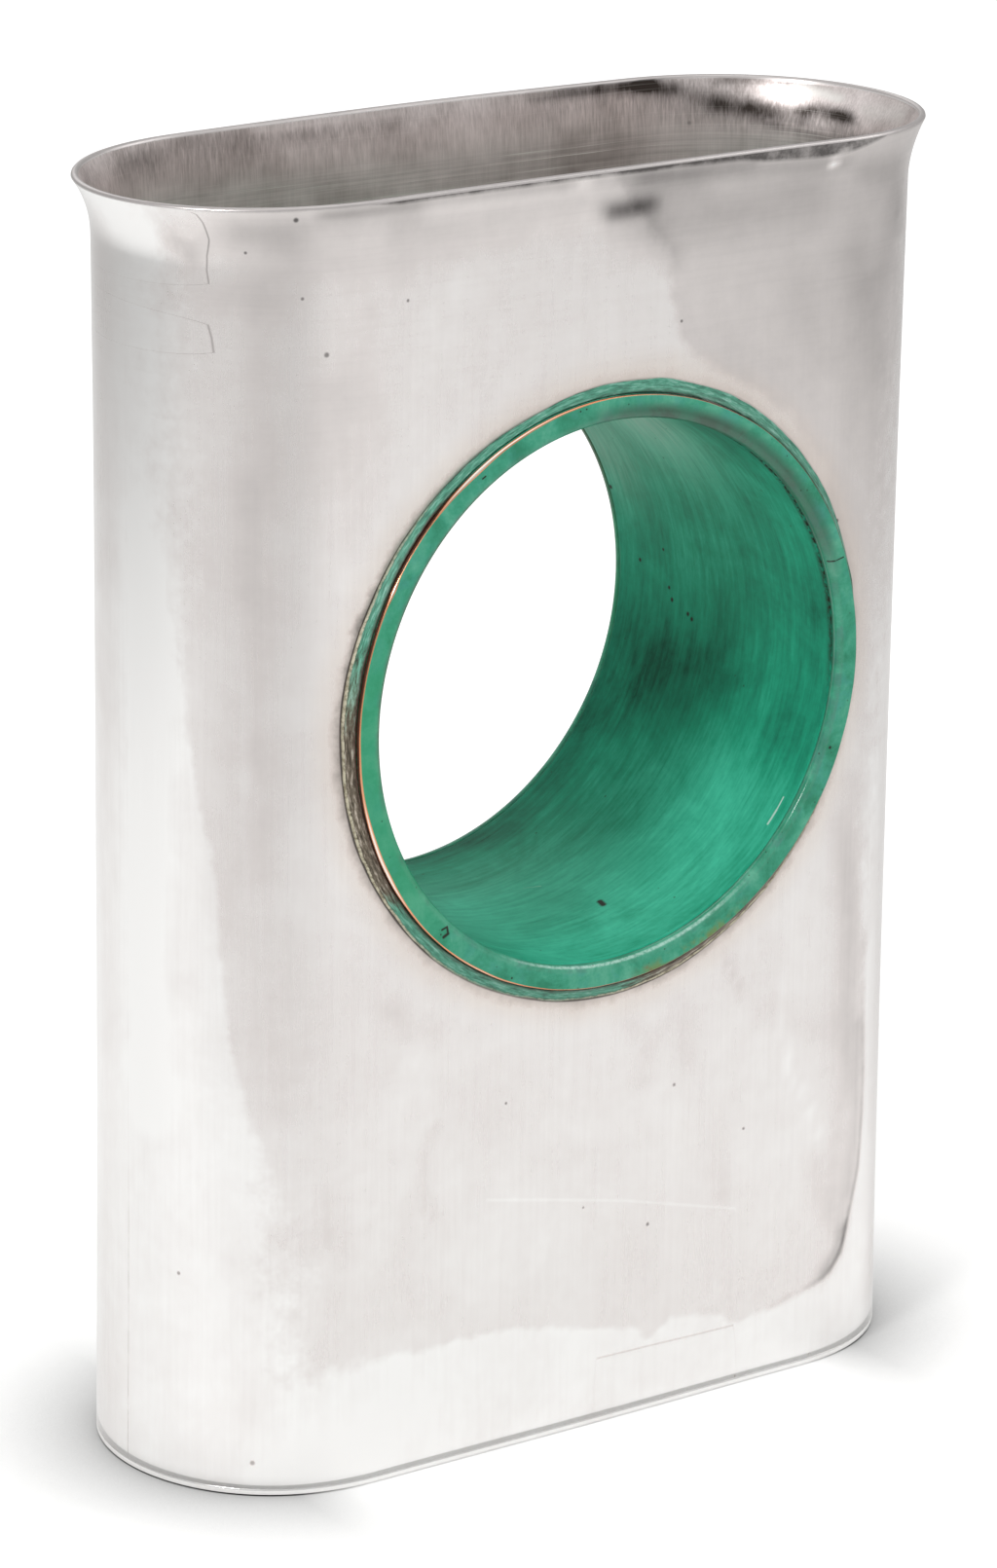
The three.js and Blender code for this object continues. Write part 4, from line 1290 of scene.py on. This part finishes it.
def makeCollarPatina(name, look):
    made, tree = newMaterial(name)
    spot = addNode(tree, "TexCoord").outputs["Object"]
    mottle = addNode(
        tree, "TexNoise",
        {
            "Vector": spot, "Scale": 1 / (look["mottleSize"] * mm), "Detail": 5.0, "Roughness": 0.6,
            "Distortion": 0.5,
        },
    )
    patches = addNode(
        tree, "TexNoise", {"Vector": spot, "Scale": 1 / (look["patchSize"] * mm), "Detail": 3.0, "Roughness": 0.6},
    )
    fine = addNode(
        tree, "TexNoise", {"Vector": spot, "Scale": 1 / (look["grainSize"] * mm), "Detail": 3.0, "Roughness": 0.7},
    )
    both = addNode(tree, "Math", [fine, 0.22, mottle], operation="MULTIPLY_ADD")
    colour = addNode(
        tree, "ValToRGB", [both], stops=[(0.44, look["deep"]), (0.60, look["green"]), (0.80, look["pale"])],
    )
    blue = addNode(tree, "MapRange", [patches, 0.5, 0.7, 0.0, 0.45])
    # what lies over the green, one over the other
    layers = [(blue, "blue")]
    for key, amount in (("fresh", 0.55), ("handled", 0.7)):
        area = addNode(tree, "Attribute", attribute_name=key).outputs["Fac"]
        layers.append((addNode(tree, "Math", [area, amount], operation="MULTIPLY"), key))
    duskAt = addNode(tree, "Attribute", attribute_name="dusk").outputs["Fac"]
    dusky = addNode(tree, "MapRange", [mottle, 0.35, 0.6, 0.5, 0.95])
    dusk = addNode(tree, "Math", [duskAt, dusky], operation="MULTIPLY")
    layers.append((dusk, "dusk"))
    stainAt = addNode(tree, "Attribute", attribute_name="stain").outputs["Fac"]
    for key, low, high in (("stain", 0.46, 0.58), ("rust", 0.60, 0.68)):
        spread = addNode(tree, "MapRange", [patches, low, high, 0.0, 0.75])
        layers.append((addNode(tree, "Math", [stainAt, spread], operation="MULTIPLY"), key))
    # the edge of the bore is rubbed: brownish in places, and glossy
    polish = addNode(tree, "Attribute", attribute_name="polish").outputs["Fac"]
    brownish = addNode(tree, "MapRange", [patches, 0.48, 0.62, 0.0, 0.28])
    rubbed = addNode(tree, "Math", [polish, brownish], operation="MULTIPLY")
    # painted highlight: a pale line low on the edge of the bore
    boreEdgeHighlight = addNode(tree, "Attribute", attribute_name="boreEdgeHighlight").outputs["Fac"]
    worn = addNode(tree, "MapRange", [fine, 0.35, 0.6, 0.25, 0.8])
    boreEdgeHighlightTint = addNode(tree, "Math", [boreEdgeHighlight, worn], operation="MULTIPLY")
    gloss = addNode(tree, "Math", [polish, 0.55, 0.05], operation="MULTIPLY_ADD")
    cells = addNode(tree, "TexVoronoi", {"Vector": spot, "Scale": 1 / (look["speckSpread"] * mm)})
    speck = addNode(tree, "MapRange", [cells.outputs["Distance"], 0.06, 0.12, 0.65, 0.0])
    chosen = addNode(tree, "SeparateXYZ", [cells.outputs["Color"]])
    few = addNode(tree, "Math", [chosen.outputs["X"], 0.68], operation="GREATER_THAN")
    specks = addNode(tree, "Math", [speck, few], operation="MULTIPLY")
    dark = addNode(tree, "Math", [specks, markMask(tree, spot, look["pits"])], operation="MAXIMUM")
    # oxide and bare copper follow the rim, with edges that wander by a tenth of a millimetre
    rimAway, copperHalf, oxideHalf = [
        addNode(tree, "Attribute", attribute_name=key).outputs["Fac"] for key in ("rimAway", "copper", "oxide")
    ]
    wander = addNode(tree, "Math", [fine, 0.36, -0.18], operation="MULTIPLY_ADD")
    at = addNode(tree, "Math", [rimAway, wander], operation="ADD")
    toCopper = addNode(tree, "Math", [rimAway], operation="ABSOLUTE")
    copperIn = addNode(tree, "Math", [copperHalf, toCopper], operation="SUBTRACT")
    bare = addNode(tree, "MapRange", [copperIn, -0.05, 0.05])
    middle = addNode(tree, "Math", [copperHalf, oxideHalf], operation="ADD")
    beside = addNode(tree, "Math", [at, middle], operation="SUBTRACT")
    toOxide = addNode(tree, "Math", [beside], operation="ABSOLUTE")
    oxideIn = addNode(tree, "Math", [oxideHalf, toOxide], operation="SUBTRACT")
    brown = addNode(tree, "MapRange", [oxideIn, -0.10, 0.04])
    layers += [(rubbed, "dusk"), (boreEdgeHighlightTint, "boreEdgeHighlightTint"), (dark, "grime"), (brown, "oxide")]
    for amount, over in layers:
        colour = addNode(tree, "Mix", {0: amount, 6: colour, 7: toLinear(look[over])}, data_type="RGBA").outputs[2]
    # where the bare line is wide its middle is painted near white: a painted highlight
    copperHighlight = addNode(tree, "MapRange", [copperIn, 0.10, 0.26])
    copper = addNode(
        tree, "Mix", {0: copperHighlight, 6: toLinear(look["copper"]), 7: toLinear(look["copperHighlight"])}, data_type="RGBA",
    )
    colour = addNode(tree, "Mix", {0: bare, 6: colour, 7: copper.outputs[2]}, data_type="RGBA").outputs[2]
    roughness = addNode(tree, "MapRange", {"Value": bare, "To Min": look["roughness"], "To Max": 0.22})
    heights = addNode(tree, "Math", [dark, -1.0, both], operation="MULTIPLY_ADD")
    bump = addNode(tree, "Bump", {"Height": heights, "Strength": 0.3, "Distance": 0.05 * mm})
    shader = addNode(
        tree, "BsdfPrincipled",
        {
            "Base Color": colour, "Metallic": bare, "Roughness": roughness, "Specular IOR Level": 0.2,
            "Coat Weight": gloss, "Coat Roughness": 0.14, "Normal": bump,
        },
    )
    addNode(tree, "OutputMaterial", [shader])
    return made


# hard silver solder, left as it flowed: dull, pale and grainy. Outside the collars it took the
# green as well, or is a grey-brown metal with streaks round the ring, and ends in a pale crust.
solderLook = {
    "pale": "#cfc8b6",
    "dark": "#57514a",
    "deep": "#2a5f4e",
    "green": "#4c9a80",
    "light": "#98c6b8",
    "bareDark": "#3b352b",
    "bare": "#776d5e",
    "barePale": "#d8cdbf",
    "oxide": "#3f2419",
    "crust": "#cbc5ae",
    "crustDark": "#8f8770",
    "grooveShade": "#37332a",
    "roughness": 0.50,
    "grain": 0.7,
    "streak": 2.5,
}


def makeSolder(name, look, coloured):
    made, tree = newMaterial(name)
    spot = addNode(tree, "TexCoord").outputs["Object"]
    grain = addNode(
        tree, "TexNoise", {"Vector": spot, "Scale": 1 / (look["grain"] * mm), "Detail": 4.0, "Roughness": 0.65},
    )
    colour = addNode(tree, "ValToRGB", [grain], stops=[(0.38, look["dark"]), (0.66, look["pale"])])
    metal = 0.85
    if coloured:
        axes = addNode(tree, "SeparateXYZ", [spot])
        across, greenAt, crustAt, oxideAt = [
            addNode(
                tree, "Attribute", attribute_name=key,
            ).outputs["Fac"] for key in ("across", "green", "crust", "oxide")
        ]
        # streaks that run round the ring: slow in X and Z, fast across the bead
        alongX = addNode(tree, "Math", [axes.outputs["X"], 1 / (look["streak"] * mm)], operation="MULTIPLY")
        alongZ = addNode(tree, "Math", [axes.outputs["Z"], 1 / (look["streak"] * mm)], operation="MULTIPLY")
        steep = addNode(tree, "Math", [across, 5.0], operation="MULTIPLY")
        flow = addNode(tree, "CombineXYZ", [alongX, steep, alongZ])
        streaks = addNode(tree, "TexNoise", {"Vector": flow, "Scale": 1.0, "Detail": 5.0, "Roughness": 0.7})
        bare = addNode(
            tree, "ValToRGB", [streaks],
            stops=[(0.36, look["bareDark"]), (0.52, look["bare"]), (0.68, look["barePale"])],
        )
        greens = addNode(
            tree, "ValToRGB", [streaks], stops=[(0.34, look["deep"]), (0.52, look["green"]), (0.72, look["light"])],
        )
        reach = addNode(tree, "Math", [streaks, 0.9, greenAt], operation="MULTIPLY_ADD")
        greenIn = addNode(tree, "MapRange", [reach, 0.80, 1.05])
        colour = addNode(tree, "Mix", {0: greenIn, 6: bare, 7: greens}, data_type="RGBA").outputs[2]
        at = addNode(tree, "Math", [grain, 0.24, across], operation="MULTIPLY_ADD")
        inner = addNode(tree, "MapRange", [at, 0.16, 0.42, 2.8, 0.0])
        brown = addNode(tree, "Math", [inner, oxideAt], operation="MULTIPLY", use_clamp=True)
        colour = addNode(
            tree, "Mix", {0: brown, 6: colour, 7: toLinear(look["oxide"])}, data_type="RGBA",
        ).outputs[2]
        # the crust is wider where there is more of it, with painted shade in a groove on its inner side
        pulled = addNode(tree, "Math", [crustAt, 0.20, at], operation="MULTIPLY_ADD")
        edge = addNode(tree, "MapRange", [pulled, 1.00, 1.05])
        laid = addNode(tree, "MapRange", [crustAt, 0.2, 0.5])
        rim = addNode(tree, "Math", [edge, laid], operation="MULTIPLY")
        grooveShade = addNode(tree, "MapRange", [pulled, 0.90, 0.99, 0.0, 0.7])
        grooved = addNode(tree, "Math", [grooveShade, crustAt], operation="MULTIPLY")
        colour = addNode(
            tree, "Mix", {0: grooved, 6: colour, 7: toLinear(look["grooveShade"])}, data_type="RGBA",
        ).outputs[2]
        crusts = addNode(tree, "ValToRGB", [grain], stops=[(0.36, look["crustDark"]), (0.56, look["crust"])])
        colour = addNode(tree, "Mix", {0: rim, 6: colour, 7: crusts}, data_type="RGBA").outputs[2]
        metal = addNode(tree, "MapRange", {"Value": greenIn, "To Min": 0.5, "To Max": 0.0})
    bump = addNode(tree, "Bump", {"Height": grain, "Strength": 0.5, "Distance": 0.12 * mm})
    shader = addNode(
        tree, "BsdfPrincipled",
        {"Base Color": colour, "Metallic": metal, "Roughness": look["roughness"], "Normal": bump},
    )
    addNode(tree, "OutputMaterial", [shader])
    return made


silver = makeSilver("hand finished sterling silver", silverLook, marked=True)
silverBase = makeSilver("hand finished sterling silver, base", silverLook, marked=False)
silverInside = makeInside("scoured silver inside", insideLook)
patina = makePatina("waxed green patina on copper", patinaLook)
patinaCollar = makeCollarPatina("green patina rubbed through to copper", collarLook)
solder = makeSolder("dull hard solder", solderLook, coloured=False)
solderGreen = makeSolder("hard solder under green patina and scale", solderLook, coloured=True)
print("materials ready")

makeSilverWall([silver, silverInside])
makeBasePlate([silverBase])
makeBaseSeam([solder])
makeBarrel([patina])
makeCollar("front_copper_collar", -1, [patinaCollar], "front_collar")
makeCollar("rear_copper_collar", 1, [patinaCollar], "rear_collar")
makeOuterBead("front_outer_bead", -1, [solderGreen], "front_collar_solder")
makeOuterBead("rear_outer_bead", 1, [solderGreen], "rear_collar_solder")
makeInnerBead("front_inner_bead", -1, [solder], "front_inner_solder")
makeInnerBead("rear_inner_bead", 1, [solder], "rear_inner_solder")


# the table and the room; lamps are in watts and metres
studio = {
    "floorSize": 9.0,
    "floorWhite": "#f2f2f1",
    "seenGlow": (0.29, 0.37),  # lifts the floor to white for the camera alone, near and far
    "mirrorGlow": 0.138,       # and for what the metal mirrors
    "mirrorFall": 0.08,        # which is this much darker at the second of these distances
    "fallFrom": (0.08, 0.62),
    "seenFrom": (0.09, 0.5),
    # where the floor that the metal mirrors is darker, or lighter where less than 0: bearing
    # in degrees, cosine at which it starts, how much, and the distances where it begins and is full
    "mirrorSides": [
        (135, 0.26, 0.30, 0.42, 0.78),
        (226, 0.66, 0.20, 0.10, 0.52),
        (5, 0.32, 0.22, 0.15, 0.75),
        (282, 0.80, -0.16, 0.32, 0.60),
    ],
    "nookFrom": 0.042,         # beyond this distance to either end the foot shades the table
    "nookFade": 0.012,
    "nookReach": 0.028,
    "nookShade": 1.15,
    "nookMirrored": 0.28,      # the share of it that the metal mirrors
    "worldLow": 0.51,
    "worldHigh": 0.70,
    # name, watts, size, place
    "lamps": [
        ("left key", 6.6, 0.30, (-1.13, -0.44, 0.98)),
        ("right softbox", 3.2, 0.9, (1.25, -0.58, 1.05)),
        ("overhead softbox", 2.15, 1.3, (0.10, -0.20, 1.5)),
        ("rear softbox", 1.3, 0.9, (0.3, 1.15, 0.9)),
    ],
}


def makeFloor():
    bm = bmesh.new()
    bmesh.ops.create_grid(bm, x_segments=2, y_segments=2, size=studio["floorSize"] / 2)
    mesh = bpy.data.meshes.new("floor")
    bm.to_mesh(mesh)
    bm.free()
    floor = bpy.data.objects.new("floor", mesh)
    bpy.context.scene.collection.objects.link(floor)
    floor.location.z = -0.0002
    made, tree = newMaterial("white studio paper")
    path = addNode(tree, "LightPath")
    place = addNode(tree, "TexCoord").outputs["Object"]
    spread = addNode(tree, "VectorMath", [place], operation="LENGTH")
    toward = addNode(tree, "VectorMath", [place], operation="NORMALIZE")
    mirrored = addNode(
        tree, "Math", [path.outputs["Is Glossy Ray"], path.outputs["Is Transmission Ray"]], operation="MAXIMUM",
    )
    farther = addNode(
        tree, "MapRange",
        [spread.outputs["Value"], studio["fallFrom"][0], studio["fallFrom"][1], 0.0, studio["mirrorFall"]],
    )
    fallen = addNode(tree, "Math", [farther, mirrored], operation="MULTIPLY")
    shade = addNode(tree, "Math", [1.0, fallen], operation="SUBTRACT")
    for bearing, start, amount, near, far in studio["mirrorSides"]:
        angle = math.radians(bearing)
        facing = addNode(
            tree, "VectorMath", [toward, (math.cos(angle), math.sin(angle), 0)], operation="DOT_PRODUCT",
        )
        side = addNode(
            tree, "MapRange", [facing.outputs["Value"], start, 1.0, 0.0, amount], interpolation_type="SMOOTHSTEP",
        )
        away = addNode(tree, "MapRange", [spread.outputs["Value"], near, far])
        loss = addNode(tree, "Math", [side, away], operation="MULTIPLY")
        lost = addNode(tree, "Math", [loss, mirrored], operation="MULTIPLY")
        shade = addNode(tree, "Math", [shade, lost], operation="SUBTRACT")
    # the narrow shade in the nooks beside the two ends of the foot
    split = addNode(tree, "SeparateXYZ", [place])
    sideways = addNode(tree, "Math", [split.outputs["X"]], operation="ABSOLUTE")
    beyond = addNode(
        tree, "MapRange",
        [sideways, studio["nookFrom"], studio["nookFrom"] + studio["nookFade"], 0.0, studio["nookShade"]],
    )
    clear = addNode(tree, "AmbientOcclusion", {"Distance": studio["nookReach"]}, samples=8)
    hidden = addNode(tree, "Math", [1.0, clear.outputs["AO"]], operation="SUBTRACT")
    nook = addNode(tree, "Math", [hidden, beyond], operation="MULTIPLY")
    fainter = addNode(tree, "MapRange", {"Value": mirrored, "To Min": 1.0, "To Max": studio["nookMirrored"]})
    nook = addNode(tree, "Math", [nook, fainter], operation="MULTIPLY")
    shade = addNode(tree, "Math", [shade, nook], operation="SUBTRACT")
    fall = addNode(tree, "Math", [spread.outputs["Value"], -1.0], operation="MULTIPLY")
    pool = addNode(tree, "Math", [fall], operation="EXPONENT")
    pooled = addNode(tree, "Math", [pool, studio["mirrorGlow"]], operation="MULTIPLY")
    inMirror = addNode(tree, "Math", [pooled, mirrored], operation="MULTIPLY")
    seen = addNode(
        tree, "MapRange",
        [
            spread.outputs["Value"], studio["seenFrom"][0], studio["seenFrom"][1], studio["seenGlow"][0],
            studio["seenGlow"][1],
        ],
    )
    glow = addNode(tree, "Math", [path.outputs["Is Camera Ray"], seen, inMirror], operation="MULTIPLY_ADD")
    strength = addNode(tree, "Math", [glow, shade], operation="MULTIPLY")
    paper = addNode(tree, "VectorMath", {0: toLinear(studio["floorWhite"])[:3], 3: shade}, operation="SCALE")
    diffuse = addNode(tree, "BsdfDiffuse", {"Color": paper})
    emission = addNode(tree, "Emission", {"Strength": strength})
    lit = addNode(tree, "AddShader", [diffuse, emission])
    addNode(tree, "OutputMaterial", [lit])
    mesh.materials.append(made)


def makeLamp(name, power, size, place, target):
    light = bpy.data.lights.new(name, "AREA")
    light.energy = power
    light.shape = "DISK"
    light.size = size
    lamp = bpy.data.objects.new(name, light)
    bpy.context.scene.collection.objects.link(lamp)
    lamp.location = place
    lamp.rotation_euler = (Vector(place) - Vector(target)).to_track_quat("Z", "Y").to_euler()


def makeWorld():
    world = bpy.data.worlds.new("studio")
    world.use_nodes = True
    tree = world.node_tree
    tree.nodes.clear()
    place = addNode(tree, "TexCoord")
    split = addNode(tree, "SeparateXYZ", [place.outputs["Generated"]])
    level = addNode(tree, "MapRange", [split.outputs["Z"], 0.0, 0.8, studio["worldLow"], studio["worldHigh"]])
    back = addNode(tree, "Background", {"Color": (1, 1, 1, 1), "Strength": level})
    addNode(tree, "OutputWorld", [back])
    bpy.context.scene.world = world


makeFloor()
makeWorld()
for name, power, size, place in studio["lamps"]:
    makeLamp(name, power, size, place, (0, 0, 0.1))

shot = {"place": (-0.51138, -0.72220, 0.37796), "yaw": -35.2725, "pitch": -17.5833, "roll": 0.7609, "lens": 137.10}


def makeCamera():
    camera = bpy.data.cameras.new("camera")
    camera.lens = shot["lens"]
    camera.sensor_width = 36.0
    camera.clip_end = 50.0
    made = bpy.data.objects.new("camera", camera)
    bpy.context.scene.collection.objects.link(made)
    made.rotation_mode = "QUATERNION"
    yaw = Quaternion((0, 0, 1), math.radians(shot["yaw"]))
    tilt = Quaternion((1, 0, 0), math.radians(90 + shot["pitch"]))
    roll = Quaternion((0, 0, 1), math.radians(shot["roll"]))
    made.rotation_quaternion = yaw @ tilt @ roll
    made.location = shot["place"]
    bpy.context.scene.camera = made


makeCamera()
bpy.context.scene.view_settings.view_transform = "Standard"
print("studio and camera ready")
